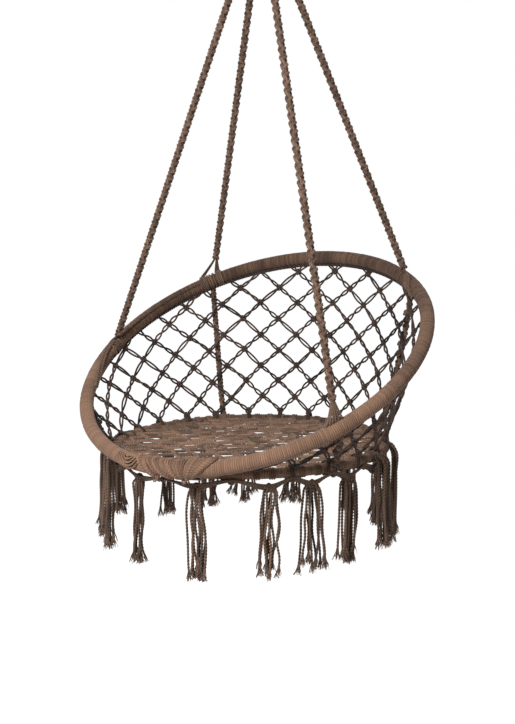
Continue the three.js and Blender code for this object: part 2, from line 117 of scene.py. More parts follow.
def reaches(points: Array) -> Array:
    """How far along a line each of its points lies."""
    return np.concatenate([[0], np.cumsum(np.linalg.norm(np.diff(points, axis=0), axis=1))])


def even(points: Array, count: int) -> Array:
    """Points evenly spaced along a line.

    Args:
        points: The line's points in order.
        count: How many points to give back.

    Returns:
        The evenly spaced points, with the same two ends.
    """
    reach = reaches(points)
    places = np.linspace(0, reach[-1], count)
    return np.stack([np.interp(places, reach, points[:, i]) for i in range(3)], axis=1)


def spline(points: list[Array] | Array, closed: bool = False, pieces: int = 16) -> Array:
    """A smooth curve through points, by the centripetal rule.

    Args:
        points: The points that the curve passes through.
        closed: Whether the curve goes back to its first point.
        pieces: Steps between two of the points.

    Returns:
        Points along the curve. A closed curve ends on its first point.
    """
    knots = np.asarray(points, float)
    if closed:
        knots = np.vstack([knots[-1:], knots, knots[:2]])
    else:
        knots = np.vstack([2 * knots[:1] - knots[1:2], knots, 2 * knots[-1:] - knots[-2:-1]])
    share = np.linspace(0, 1, pieces, endpoint=False)[:, None]
    curve = []
    for before, start, end, after in zip(knots, knots[1:], knots[2:], knots[3:]):
        gaps = (start - before, end - start, after - end)
        first, middle, last = (math.sqrt(np.linalg.norm(gap)) for gap in gaps)
        bend_in = (start - before) / first - (end - before) / (first + middle)
        bend_out = (after - end) / last - (after - start) / (middle + last)
        leave = bend_in * middle + (end - start)
        arrive = bend_out * middle + (end - start)
        curve.append(
            start * (1 + 2 * share) * (1 - share) ** 2
            + leave * share * (1 - share) ** 2
            + end * share**2 * (3 - 2 * share)
            + arrive * share**2 * (share - 1)
        )
    curve.append(knots[-2][None])
    return np.concatenate(curve)


def frames_along(paths: Array, closed: bool = False) -> tuple[Array, Array]:
    """Directions square to paths, carried along them without twist.

    Args:
        paths: An array of paths by points by 3.
        closed: Whether each path joins its own start.

    Returns:
        Normals and binormals, each shaped as the paths.
    """
    if closed:
        tangents = unit(np.roll(paths, -1, 1) - np.roll(paths, 1, 1))
    else:
        tangents = unit(np.gradient(paths, axis=1))
    seeds = np.where(np.abs(tangents[:, 0, 2:]) < STEEP, UP, [[1.0, 0.0, 0.0]])
    normals = np.empty_like(paths)
    normals[:, 0] = unit(seeds - dot(seeds, tangents[:, 0]) * tangents[:, 0])
    for step in range(1, paths.shape[1]):
        here, carried = tangents[:, step], normals[:, step - 1]
        normals[:, step] = unit(carried - dot(carried, here) * here)
    binormals = np.cross(tangents, normals)
    if closed:
        here, carried = tangents[:, 0], normals[:, -1]
        carried = unit(carried - dot(carried, here) * here)
        slip = np.arctan2(dot(carried, binormals[:, 0]), dot(carried, normals[:, 0]))
        back = -slip[:, None] * (np.arange(paths.shape[1]) / paths.shape[1])[None, :, None]
        normals, binormals = (
            normals * np.cos(back) + binormals * np.sin(back),
            binormals * np.cos(back) - normals * np.sin(back),
        )
    return normals, binormals


@dataclass(frozen=True)
class Cord:
    """One kind of cord: its thickness and how it is twisted.

    With a groove the plies are shaped in the mesh, and without one only the finish shows them.
    """

    radius: float
    sides: int = 6
    plies: int = 2
    lay: float = 13 * MM
    groove_share: float = 0.0


class CordMesh:
    """Gathers cords, laid as closed tubes, into one mesh with a UV map that follows the twist."""

    def __init__(self) -> None:
        """Starts empty."""
        self.points: list[Array] = []
        self.tones: list[Array] = []
        self.faces: dict[int, list[Array]] = {}
        self.maps: dict[int, list[Array]] = {}
        self.count = 0

    def add(self, points: Array, tones: Array) -> int:
        """Adds vertices.

        Args:
            points: Rows of x, y and z.
            tones: One shade of the finish for each vertex, from 0 to 1.

        Returns:
            The number of the first of them.
        """
        first = self.count
        self.points.append(points)
        self.tones.append(tones)
        self.count += len(points)
        return first

    def add_faces(self, corners: Array, uvs: Array) -> None:
        """Adds faces that all have the same number of corners.

        Args:
            corners: Rows of vertex numbers.
            uvs: The place of each corner in the UV map.
        """
        self.faces.setdefault(corners.shape[1], []).append(corners)
        self.maps.setdefault(corners.shape[1], []).append(uvs.reshape(-1, 2))

    def lay(
        self,
        paths: Array,
        cord: Cord,
        closed: bool = False,
        tones: Places = 0.5,
        swell: Places = 1.0,
    ) -> None:
        """Lays cords along paths.

        Args:
            paths: One path of points, or several with equally many points.
            cord: The cord's kind.
            closed: Whether each path joins its own start.
            tones: The shade of each cord.
            swell: The share of the cord's radius at each point of the paths.
        """
        paths = np.asarray(paths, float)
        if paths.ndim == 2:
            paths = paths[None]
        many, steps, _ = paths.shape
        normals, binormals = frames_along(paths, closed)
        reach = np.zeros((many, steps))
        reach[:, 1:] = np.cumsum(np.linalg.norm(np.diff(paths, axis=1), axis=2), axis=1)
        turned = TURN * reach / cord.lay
        if closed:
            whole = reach[:, -1:] + np.linalg.norm(paths[:, 0] - paths[:, -1], axis=-1, keepdims=True)
            turned = TURN * np.maximum(1, np.round(whole / cord.lay)) * reach / whole
        around = TURN * np.arange(cord.sides) / cord.sides
        spin = turned if cord.groove_share else np.zeros_like(turned)
        angles = around[None, None, :] + spin[:, :, None]
        grooves = 1 - cord.groove_share * (0.5 - 0.5 * np.cos(cord.plies * around))
        swells = np.broadcast_to(swell, (many, steps))[:, :, None]
        radii = cord.radius * grooves[None, None, :] * swells
        rings = (
            paths[:, :, None]
            + (radii * np.cos(angles))[..., None] * normals[:, :, None]
            + (radii * np.sin(angles))[..., None] * binormals[:, :, None]
        )
        shades = np.broadcast_to(np.asarray(tones, float).reshape(-1, 1, 1), (many, steps, cord.sides))
        first = self.add(rings.reshape(-1, 3), shades.reshape(-1))
        self._join_rings(first, cord.sides, reach, (turned - spin) / TURN, closed)

    def _join_rings(
        self, first: int, sides: int, reach: Array, slip: Array, closed: bool
    ) -> None:
        """Adds the faces between the rings of laid cords, and their end caps.

        Args:
            first: The number of the first vertex.
            sides: Vertices in one ring.
            reach: How far along its path each ring lies.
            slip: Turns by which the map is shifted at each ring.
            closed: Whether the last ring joins the first.
        """
        many, steps = reach.shape
        spans = steps if closed else steps - 1
        rows, side = np.arange(spans), np.arange(sides)
        here = (rows * sides)[:, None]
        there = ((rows + 1) % steps * sides)[:, None]
        near, far = side[None, :], ((side + 1) % sides)[None, :]
        quads = np.stack(np.broadcast_arrays(here + near, here + far, there + far, there + near), axis=-1)
        starts = first + (np.arange(many) * steps * sides)[:, None]
        quads = quads.reshape(1, -1, 4) + starts[:, :, None]
        slip_after = np.roll(slip, -1, axis=1)[:, :spans, None]
        if closed:
            slip_after[:, -1] += np.round(slip[:, -1:])
        reach_after = np.concatenate([reach[:, 1:], reach[:, -1:]], axis=1)[:, :spans, None]
        slip, reach = slip[:, :spans, None], reach[:, :spans, None]
        left, right = (side / sides)[None, None, :], ((side + 1) / sides)[None, None, :]
        corners = (
            (left - slip, reach),
            (right - slip, reach),
            (right - slip_after, reach_after),
            (left - slip_after, reach_after),
        )
        uvs = np.stack([np.stack(np.broadcast_arrays(*corner), axis=-1) for corner in corners], axis=3)
        self.add_faces(quads.reshape(-1, 4), uvs)
        if not closed:
            ends = starts + (steps - 1) * sides
            caps = np.concatenate([starts + side[::-1], ends + side])
            self.add_faces(caps, np.zeros((len(caps), sides, 2)))

    def build(self, name: str, material: bpy.types.Material) -> bpy.types.Object:
        """Makes the object.

        Args:
            name: The piece's name.
            material: Its finish.

        Returns:
            The new object, at the origin.
        """
        mesh = bpy.data.meshes.new(name)
        mesh.vertices.add(self.count)
        mesh.vertices.foreach_set("co", np.concatenate(self.points).astype(np.float32).ravel())
        corners = [np.concatenate(self.faces[size]).ravel() for size in self.faces]
        sizes = np.concatenate([np.full(sum(map(len, self.faces[size])), size) for size in self.faces])
        mesh.loops.add(sum(map(len, corners)))
        mesh.loops.foreach_set("vertex_index", np.concatenate(corners).astype(np.int32))
        mesh.polygons.add(len(sizes))
        starts = np.concatenate([[0], np.cumsum(sizes)[:-1]])
        mesh.polygons.foreach_set("loop_start", starts.astype(np.int32))
        mesh.polygons.foreach_set("use_smooth", np.ones(len(sizes), bool))
        uv_map = mesh.uv_layers.new(name="cord")
        places = np.concatenate([np.concatenate(self.maps[size]) for size in self.maps])
        uv_map.data.foreach_set("uv", places.astype(np.float32).ravel())
        tone = mesh.attributes.new("tone", "FLOAT", "POINT")
        tone.data.foreach_set("value", np.concatenate(self.tones).astype(np.float32))
        mesh.update(calc_edges=True)
        piece = bpy.data.objects.new(name, mesh)
        bpy.context.scene.collection.objects.link(piece)
        piece.data.materials.append(material)
        LOG.info("%s: %d faces", name, len(sizes))
        return piece


def node_points(node: bpy.types.Object) -> Array:
    """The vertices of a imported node, as rows of x, y and z."""
    return np.array([vertex.co for vertex in node.data.vertices], float)


@dataclass(frozen=True)
class Hoop:
    """A wound hoop. Places round it are angles from the rear, positive to the right."""

    centre: Array
    across: Array
    rear: Array
    up: Array
    radius: float
    section: float

    @classmethod
    def from_node(cls, node: bpy.types.Object) -> "Hoop":
        """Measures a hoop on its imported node.

        Args:
            node: The node of the hoop's winding.

        Returns:
            The hoop.
        """
        points = node_points(node)
        up = np.linalg.svd(points - points.mean(0), full_matrices=False)[2][2]
        up = up * np.sign(up[2])
        across = unit(np.array([1.0, 0.0, 0.0]) - up[0] * up)
        rear = np.cross(up, across)
        axes = np.stack([across, rear, up])
        places = points @ axes.T
        centre = ((places.min(0) + places.max(0)) / 2) @ axes
        distances = np.hypot(*((points - centre) @ axes[:2].T).T)
        outer, inner = distances.max(), distances.min()
        return cls(centre, across, rear, up, (outer + inner) / 2, (outer - inner) / 2)

    def outward(self, angle: Places) -> Array:
        """Directions away from the hoop's centre at angles."""
        angle = np.asarray(angle, float)[..., None]
        return np.sin(angle) * self.across + np.cos(angle) * self.rear

    def along(self, angle: Places) -> Array:
        """Directions along the hoop at angles, towards larger ones."""
        angle = np.asarray(angle, float)[..., None]
        return np.cos(angle) * self.across - np.sin(angle) * self.rear

    def point(self, angle: Places) -> Array:
        """Points on the centreline of the hoop's tube at angles."""
        return self.centre + self.radius * self.outward(angle)

    def away(self, angle: Places, turn: Places) -> Array:
        """Directions out of the hoop's section. The turn goes from outside through the top."""
        turn = np.asarray(turn, float)[..., None]
        return np.cos(turn) * self.outward(angle) + np.sin(turn) * self.up

    def around(self, angle: Places, turn: Places, lift: Places) -> Array:
        """Points round the hoop's section.

        Args:
            angle: Places round the hoop.
            turn: Angles round the section, from outside through the top.
            lift: Height over the winding.

        Returns:
            The points.
        """
        reach = self.section + np.asarray(lift, float)[..., None]
        return self.point(angle) + reach * self.away(angle, turn)


@dataclass(frozen=True)
class Chair:
    """The two hoops and the surfaces between and round them."""

    back: Hoop
    seat: Hoop

    def rise(self, angle: Places) -> Array:
        """The clear length of the net's fall lines between both windings, at angles."""
        length = np.linalg.norm(self.back.point(angle) - self.seat.point(angle), axis=-1)
        return length - self.back.section - self.seat.section

    def net_along(self, angle: Places) -> Array:
        """Directions up the net's fall lines, at angles."""
        return unit(self.back.point(angle) - self.seat.point(angle))

    def net_point(self, angle: Places, height: Places) -> Array:
        """Points on the net's surface.

        Args:
            angle: Places round the seat hoop.
            height: Heights above the seat hoop's winding, along the fall lines.

        Returns:
            The points.
        """
        height = np.asarray(height, float)[..., None]
        return self.seat.point(angle) + (self.seat.section + height) * self.net_along(angle)

    def net_normal(self, angle: Places, height: Places) -> Array:
        """Directions out of the net's surface, away from who sits in it.

        Args:
            angle: Places round the seat hoop.
            height: Heights above the seat hoop's winding.

        Returns:
            The directions.
        """
        step = math.radians(0.25)
        after = self.net_point(np.asarray(angle) + step, height)
        before = self.net_point(np.asarray(angle) - step, height)
        return unit(np.cross(after - before, self.net_along(angle)))

    def outline(self, angle: Places, turn: Places, lift: Places) -> Array:
        """Points of the outline drawn tight round both windings.

        Args:
            angle: Places round the seat hoop.
            turn: Directions in which the outline faces, from outside through the top.
            lift: Height over the windings.

        Returns:
            The points.
        """
        low = self.seat.point(angle)
        offset = low - self.back.centre
        offset = offset - dot(offset, self.back.up) * self.back.up
        high = self.back.centre + self.back.radius * unit(offset)
        tangent = self.seat.along(angle)
        across = unit(high - low - dot(high - low, tangent) * tangent)
        up = np.cross(across, tangent)
        up = up * np.sign(up[..., 2:])
        turn = np.asarray(turn, float)[..., None]
        away = across * np.cos(turn) + up * np.sin(turn)
        lift = np.asarray(lift, float)[..., None]
        on_seat = low + away * (self.seat.section + lift)
        on_back = high + away * (self.back.section + lift)
        return np.where(dot(on_back - on_seat, away) > 0, on_back, on_seat)


def round_braid(axis: Array, pitch: float, core: float, swing: float) -> Array:
    """Four strands braided round an axis.

    Args:
        axis: Evenly spaced points of the rope's axis.
        pitch: The length in which a strand goes once round.
        core: The strands' mean distance from the axis.
        swing: How far a strand moves in and out as it passes under and over.

    Returns:
        An array of 4 strands by points by 3.
    """
    normals, binormals = frames_along(axis[None])
    turn = TURN * reaches(axis) / pitch
    strands = []
    for way, start in ((1, 0.0), (1, math.pi), (-1, 0.0), (-1, math.pi)):
        distance = core + way * swing * np.cos(2 * turn)
        angle = way * turn + start
        sideways = (distance * np.cos(angle))[:, None] * normals[0]
        strands.append(axis + sideways + (distance * np.sin(angle))[:, None] * binormals[0])
    return np.stack(strands)


def flat_braid(axis: Array, facing: Array, pitch: float, width: float, depth: float) -> Array:
    """Three strands of a flat braid.

    Args:
        axis: Evenly spaced points of the braid's axis.
        facing: The direction that the braid's face has at each.
        pitch: The length in which a strand goes across and back.
        width: How far a strand goes to each side.
        depth: How far it goes over and under.

    Returns:
        An array of 3 strands by points by 3.
    """
    across = unit(np.cross(facing, np.gradient(axis, axis=0)))
    phase = TURN * (reaches(axis) / pitch + np.arange(3)[:, None] / 3)
    sideways = width * np.sin(phase)[..., None] * across
    return axis + sideways + depth * np.sin(2 * phase)[..., None] * facing


def twisted(axis: Array, number: int, lay: float, distance: float) -> Array:
    """Strands twisted round each other along an axis.

    Args:
        axis: Evenly spaced points of the axis.
        number: How many strands.
        lay: The length of one full twist.
        distance: The strands' distance from the axis.

    Returns:
        An array of strands by points by 3.
    """
    normals, binormals = frames_along(axis[None])
    angle = TURN * (reaches(axis) / lay + np.arange(number)[:, None] / number)
    return (
        axis
        + distance * np.cos(angle)[..., None] * normals
        + distance * np.sin(angle)[..., None] * binormals
    )


@dataclass(frozen=True)
class Knot:
    """One kind of tight overhand knot, six times its spread wide.

    Its cord goes over and under by the depth. In a row, each next knot is turned by the twist.
    """

    cord: Cord
    spread: float
    depth: float
    twist: float = 0.0
    steps: int = 27

    def row(self, count: int) -> Array:
        """How each of a row of knots is turned in its own plane."""
        return np.arange(count) * self.twist

    def lay(
        self, mesh: CordMesh, centres: Array, facing: Array, turns: Array, tones: Places
    ) -> None:
        """Lays a knot at each centre.

        Args:
            mesh: The mesh that takes them.
            centres: The knots' middles.
            facing: The directions that they face.
            turns: How each is turned in its own plane.
            tones: The shade of each.
        """
        along = TURN * np.arange(self.steps) / self.steps
        flat = np.stack([np.cos(2 * along), np.sin(2 * along)]) * (2 + np.cos(3 * along))
        level = unit(np.cross(facing, NEARLY_UP))
        rising = np.cross(facing, level)
        cosine, sine = np.cos(turns)[:, None], np.sin(turns)[:, None]
        first, second = level * cosine + rising * sine, rising * cosine - level * sine
        paths = (
            centres[:, None]
            + self.spread * flat[0][None, :, None] * first[:, None]
            + self.spread * flat[1][None, :, None] * second[:, None]
            + self.depth * np.sin(3 * along)[None, :, None] * facing[:, None]
        )
        mesh.lay(paths, self.cord, closed=True, tones=tones)


class Value:
    """One output of a shader node. Arithmetic on it adds Math nodes."""

    def __init__(self, board: "NodeBoard", socket: bpy.types.NodeSocket) -> None:
        """Keeps the board that the node is on, and its output."""
        self.board = board
        self.socket = socket

    def _math(self, operation: str, *values: "Value | float") -> "Value":
        """The result of one new Math node."""
        return self.board.node("ShaderNodeMath", {"operation": operation}, dict(enumerate(values)))

    def __add__(self, other: "Value | float") -> "Value":
        """The sum."""
        return self._math("ADD", self, other)

    def __radd__(self, other: float) -> "Value":
        """The sum."""
        return self._math("ADD", other, self)

    def __sub__(self, other: "Value | float") -> "Value":
        """The difference."""
        return self._math("SUBTRACT", self, other)

    def __rsub__(self, other: float) -> "Value":
        """The difference."""
        return self._math("SUBTRACT", other, self)

    def __mul__(self, other: "Value | float") -> "Value":
        """The product."""
        return self._math("MULTIPLY", self, other)

    def __rmul__(self, other: float) -> "Value":
        """The product."""
        return self._math("MULTIPLY", other, self)

    def __pow__(self, other: float) -> "Value":
        """The power."""
        return self._math("POWER", self, other)

    def cosine(self) -> "Value":
        """The cosine of the value times a full turn."""
        return self._math("COSINE", self * TURN)

    def clamped(self) -> "Value":
        """The value, kept between 0 and 1."""
        return self._math("MAXIMUM", self._math("MINIMUM", self, 1.0), 0.0)


class NodeBoard:
    """The shader nodes of one material or world."""

    def __init__(self, tree: bpy.types.NodeTree) -> None:
        """Starts with an emptied node tree."""
        self.tree = tree
        self.tree.nodes.clear()

    def node(
        self, kind: str, settings: dict | None = None, values: dict | None = None, output: int | str = 0
    ) -> Value:
        """Adds a node of any type.

        Args:
            kind: The node's type.
            settings: Its properties, which are set first.
            values: Values or links for its sockets.
            output: The output to give back.

        Returns:
            That output.
        """
        node = self.tree.nodes.new(kind)
        for key, setting in (settings or {}).items():
            setattr(node, key, setting)
        for key, value in (values or {}).items():
            if isinstance(value, Value):
                self.tree.links.new(value.socket, node.inputs[key])
            else:
                node.inputs[key].default_value = value
        return Value(self, node.outputs[output])

    def outputs(self, kind: str, values: dict | None = None) -> dict[str, Value]:
        """Adds a node and gives back all its outputs by name."""
        node = self.node(kind, {}, values).socket.node
        return {socket.name: Value(self, socket) for socket in node.outputs}

    def mix(self, share: Value | float, first: Colour | Value, second: Colour | Value) -> Value:
        """The colour between two at a share. The node's sockets 6 and 7 are its two colours."""
        return self.node("ShaderNodeMix", {"data_type": "RGBA"}, {0: share, 6: first, 7: second}, output=2)

    def noise(self, vector: Value, scale: float, detail: float = 3.0) -> Value:
        """A noise between 0 and 1 on a vector."""
        return self.node("ShaderNodeTexNoise", {}, {"Vector": vector, "Scale": scale, "Detail": detail})

    def seen(self) -> Value:
        """One where the camera, a reflection or a clear piece sees the surface, else zero."""
        rays = self.outputs("ShaderNodeLightPath")
        return (rays["Is Camera Ray"] + rays["Is Glossy Ray"] + rays["Is Transmission Ray"]).clamped()

    def close(self, shader: Value, output: str = "ShaderNodeOutputMaterial") -> None:
        """Links a shader to a new output node of the given type."""
        self.tree.links.new(shader.socket, self.tree.nodes.new(output).inputs["Surface"])

    def surface(self, values: dict, height: Value, depth: float) -> None:
        """Adds the surface shader and its bump, and links it to the output.

        Args:
            values: Values or links for the shader's sockets.
            height: What the bump follows.
            depth: The bump's depth in metres.
        """
        bump = self.node("ShaderNodeBump", {}, {"Height": height, "Distance": depth})
        self.close(self.node("ShaderNodeBsdfPrincipled", {}, values | {"Normal": bump}))


def new_material(name: str) -> tuple[bpy.types.Material, NodeBoard]:
    """Makes an empty material.

    Args:
        name: Its name.

    Returns:
        The material and the board of its shader nodes.
    """
    material = bpy.data.materials.new(name)
    material.use_nodes = True
    return material, NodeBoard(material.node_tree)


def paint(red: int, green: int, blue: int) -> Colour:
    """A colour as it looks on a screen, made linear.

    Args:
        red: From 0 to 255.
        green: From 0 to 255.
        blue: From 0 to 255.

    Returns:
        The linear colour with full alpha.
    """
    shares = [channel / 255 for channel in (red, green, blue)]
    linear = [share / 12.92 if share <= 0.04045 else ((share + 0.055) / 1.055) ** 2.4 for share in shares]
    return (*linear, 1.0)


@dataclass(frozen=True)
class Dye:
    """The three shades of a cord: where it is worn, fresh, and the painted shade in its grooves."""

    light: Colour
    dark: Colour
    groove: Colour


@dataclass(frozen=True)
class CottonFinish:
    """Matt cotton cord with worn patches and fibres, on the cords' own UV map and tones.

    Each kind of cord gives its own grooves, which get painted shade. A share says how much of the whole a
    part makes up.
    """

    name: str
    dye: Dye
    roughness: float = 0.9
    gloss: float = 0.2
    sheen: float = 0.1
    sheen_roughness: float = 0.6
    patch_scale: float = 14.0
    patch_share: float = 0.9
    fibre_scale: float = 900.0
    fibre_detail: float = 2.0
    fibre_share: float = 0.6
    fibre_height_share: float = 0.25
    bump_depth: float = 0.5 * MM

    def grooves(self, across: Value, along: Value) -> tuple[Value, Value]:
        """How deep in a groove, which sets its painted shade, and how high each place of the UV map lies,
        from 0 to 1.
        """
        raise NotImplementedError

    def make(self) -> bpy.types.Material:
        """Builds the material.

        Returns:
            The material.
        """
        material, board = new_material(self.name)
        uv = board.node("ShaderNodeUVMap", {"uv_map": "cord"})
        parts = board.outputs("ShaderNodeSeparateXYZ", {0: uv})
        place = board.node("ShaderNodeTexCoord", output="Object")
        tone = board.node("ShaderNodeAttribute", {"attribute_name": "tone"}, output="Fac")
        patches = board.noise(place, self.patch_scale) - 0.5
        fibres = board.noise(place, self.fibre_scale, self.fibre_detail)
        shade = (tone + patches * self.patch_share + (fibres - 0.5) * self.fibre_share).clamped()
        body = board.mix(shade, self.dye.dark, self.dye.light)
        deep, height = self.grooves(parts["X"], parts["Y"])
        board.surface(
            {
                # Painted shade: the groove colour darkens each place by how deep in a groove it lies.
                "Base Color": board.mix(deep, body, self.dye.groove),
                "Roughness": self.roughness,
                "Specular IOR Level": self.gloss,
                "Sheen Weight": self.sheen,
                "Sheen Roughness": self.sheen_roughness,
            },
            height + fibres * self.fibre_height_share,
            self.bump_depth,
        )
        return material


@dataclass(frozen=True)
class CordFinish(CottonFinish):
    """Twisted cord, with painted shade in the grooves between its plies."""

    plies: int = 2
    deep_share: float = 0.85
    yarn_pitch: float = 2.4 * MM
    yarn_deep_share: float = 0.15
    ply_height_share: float = 0.8
    yarn_height_share: float = 0.2

    def grooves(self, across: Value, along: Value) -> tuple[Value, Value]:
        """The grooves between the plies and, fainter, between their yarns, both darkened with painted shade.

        Args:
            across: The place round the cord.
            along: The place along it.

        Returns:
            How deep in a groove, which sets its painted shade, and how high it lies.
        """
        ply = 0.5 - 0.5 * (across * self.plies).cosine()
        yarns = 0.5 + 0.5 * (along * (1 / self.yarn_pitch) + across * self.plies).cosine()
        deep = ((ply**3.0) * self.deep_share + (1 - yarns) * self.yarn_deep_share).clamped()
        return deep, (1 - ply**2.0) * self.ply_height_share + yarns * self.yarn_height_share


@dataclass(frozen=True)
class WindingFinish(CottonFinish):
    """Cord wound tight round a hoop, with painted shade in the valleys between its turns and in the grooves
    of its twist. The map goes up by one for each turn of the cord.
    """

    twists_around: int = 12
    valley_deep_share: float = 0.5
    twist_deep_share: float = 0.4
    valley_height_share: float = 0.3
    twist_height_share: float = 0.5

    def grooves(self, across: Value, along: Value) -> tuple[Value, Value]:
        """The valleys between the turns and the grooves of the cord's own twist, both darkened with painted
        shade.

        Args:
            across: The place round the hoop's section.
            along: The place along the hoop.

        Returns:
            How deep in a groove, which sets its painted shade, and how high it lies.
        """
        valley = 0.5 + 0.5 * along.cosine()
        twist = 0.5 + 0.5 * (across * self.twists_around + along).cosine()
        deep = ((valley**3.0) * self.valley_deep_share + (twist**3.0) * self.twist_deep_share).clamped()
        height = (1 - twist) * self.twist_height_share + (1 - valley) * self.valley_height_share
        return deep, height


@dataclass(frozen=True)
class SteelFinish:
    """Plated or painted steel with faint marks of drawing and handling."""

    name: str
    light: Colour
    dark: Colour
    metallic: float
    roughness: float
    coat: float = 0.0
    cloud_scale: float = 70.0
    cloud_roughness: float = 0.25
    mark_scales: tuple[float, float, float] = (60.0, 900.0, 900.0)
    mark_detail: float = 4.0
    mark_roughness: float = 0.12
    mark_depth: float = 0.05 * MM

    def make(self) -> bpy.types.Material:
        """Builds the material on object coordinates.

        Returns:
            The material.
        """
        material, board = new_material(self.name)
        place = board.node("ShaderNodeTexCoord", output="Object")
        stretched = board.node("ShaderNodeMapping", {}, {"Vector": place, "Scale": self.mark_scales})
        clouds = board.noise(place, self.cloud_scale)
        marks = board.noise(stretched, 1.0, self.mark_detail)
        uneven = (clouds - 0.5) * self.cloud_roughness + (marks - 0.5) * self.mark_roughness
        board.surface(
            {
                "Base Color": board.mix(clouds, self.dark, self.light),
                "Metallic": self.metallic,
                "Roughness": self.roughness + uneven,
                "Coat Weight": self.coat,
            },
            marks,
            self.mark_depth,
        )
        return material


class Finishes:
    """The finishes of all pieces, made once."""

    def __init__(self) -> None:
        """Builds every material."""
        brown = Dye(paint(166, 128, 103), paint(78, 58, 46), paint(16, 10, 8))
        # Painted shade: the back net, and the edge cord that shares its finish, take a darker copy of the
        # cord's dye, for the shade inside the chair.
        net_painted_shade = Dye(paint(98, 74, 62), paint(34, 25, 21), paint(8, 6, 5))
        woven = Dye(paint(162, 125, 100), paint(62, 46, 37), paint(12, 8, 7))
        braided = Dye(paint(144, 114, 95), paint(60, 46, 38), paint(12, 8, 7))
        hanging = Dye(paint(150, 119, 98), paint(62, 47, 38), paint(12, 8, 7))
        coarse = {"patch_scale": 11.0, "fibre_scale": 800.0, "fibre_height_share": 0.2}
        self.back_winding = WindingFinish("back_winding_cord", brown, twists_around=18, **coarse).make()
        self.seat_winding = WindingFinish("seat_winding_cord", woven, **coarse).make()
        self.rope = CordFinish("rope_cord", braided, plies=3, deep_share=0.4).make()
        self.net = CordFinish("net_cord", net_painted_shade).make()
        self.seat_net = CordFinish("seat_net_cord", woven, deep_share=0.7).make()
        self.lashing = CordFinish("lashing_cord", brown, deep_share=0.5).make()
        self.fringe = CordFinish("fringe_cord", hanging).make()
        self.ring = SteelFinish("plated_ring", paint(196, 198, 200), paint(168, 170, 172), 1.0, 0.28).make()
        self.tube = SteelFinish("painted_tube", paint(62, 58, 55), paint(48, 45, 43), 0.0, 0.45, 0.4).make()


def place_piece(piece: bpy.types.Object, body: Body, replaced: str | None = None) -> None:
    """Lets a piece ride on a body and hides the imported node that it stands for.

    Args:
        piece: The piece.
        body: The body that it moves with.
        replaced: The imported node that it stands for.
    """
    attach(piece, body.value)
    if replaced:
        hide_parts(replaced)


def blend_piece(
    piece: bpy.types.Object, end: Array, replaced: str | None = None
) -> None:
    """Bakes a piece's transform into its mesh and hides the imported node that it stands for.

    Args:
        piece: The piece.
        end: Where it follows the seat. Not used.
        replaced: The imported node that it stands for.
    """
    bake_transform(piece)
    if replaced:
        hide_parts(replaced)


def tied_pairs(knots: Knots) -> list[tuple[Array, Array]]:
    """Finds each two knots that a leg of a net ties together.

    Args:
        knots: The knots' places by row and column.

    Returns:
        The places of each two, the one in the lower row first.
    """
    pairs = []
    for (row, column), high in knots.items():
        for side in (-0.5, 0.5):
            low = knots.get((row - 1, column + side))
            if low is not None:
                pairs.append((low, high))
    return pairs


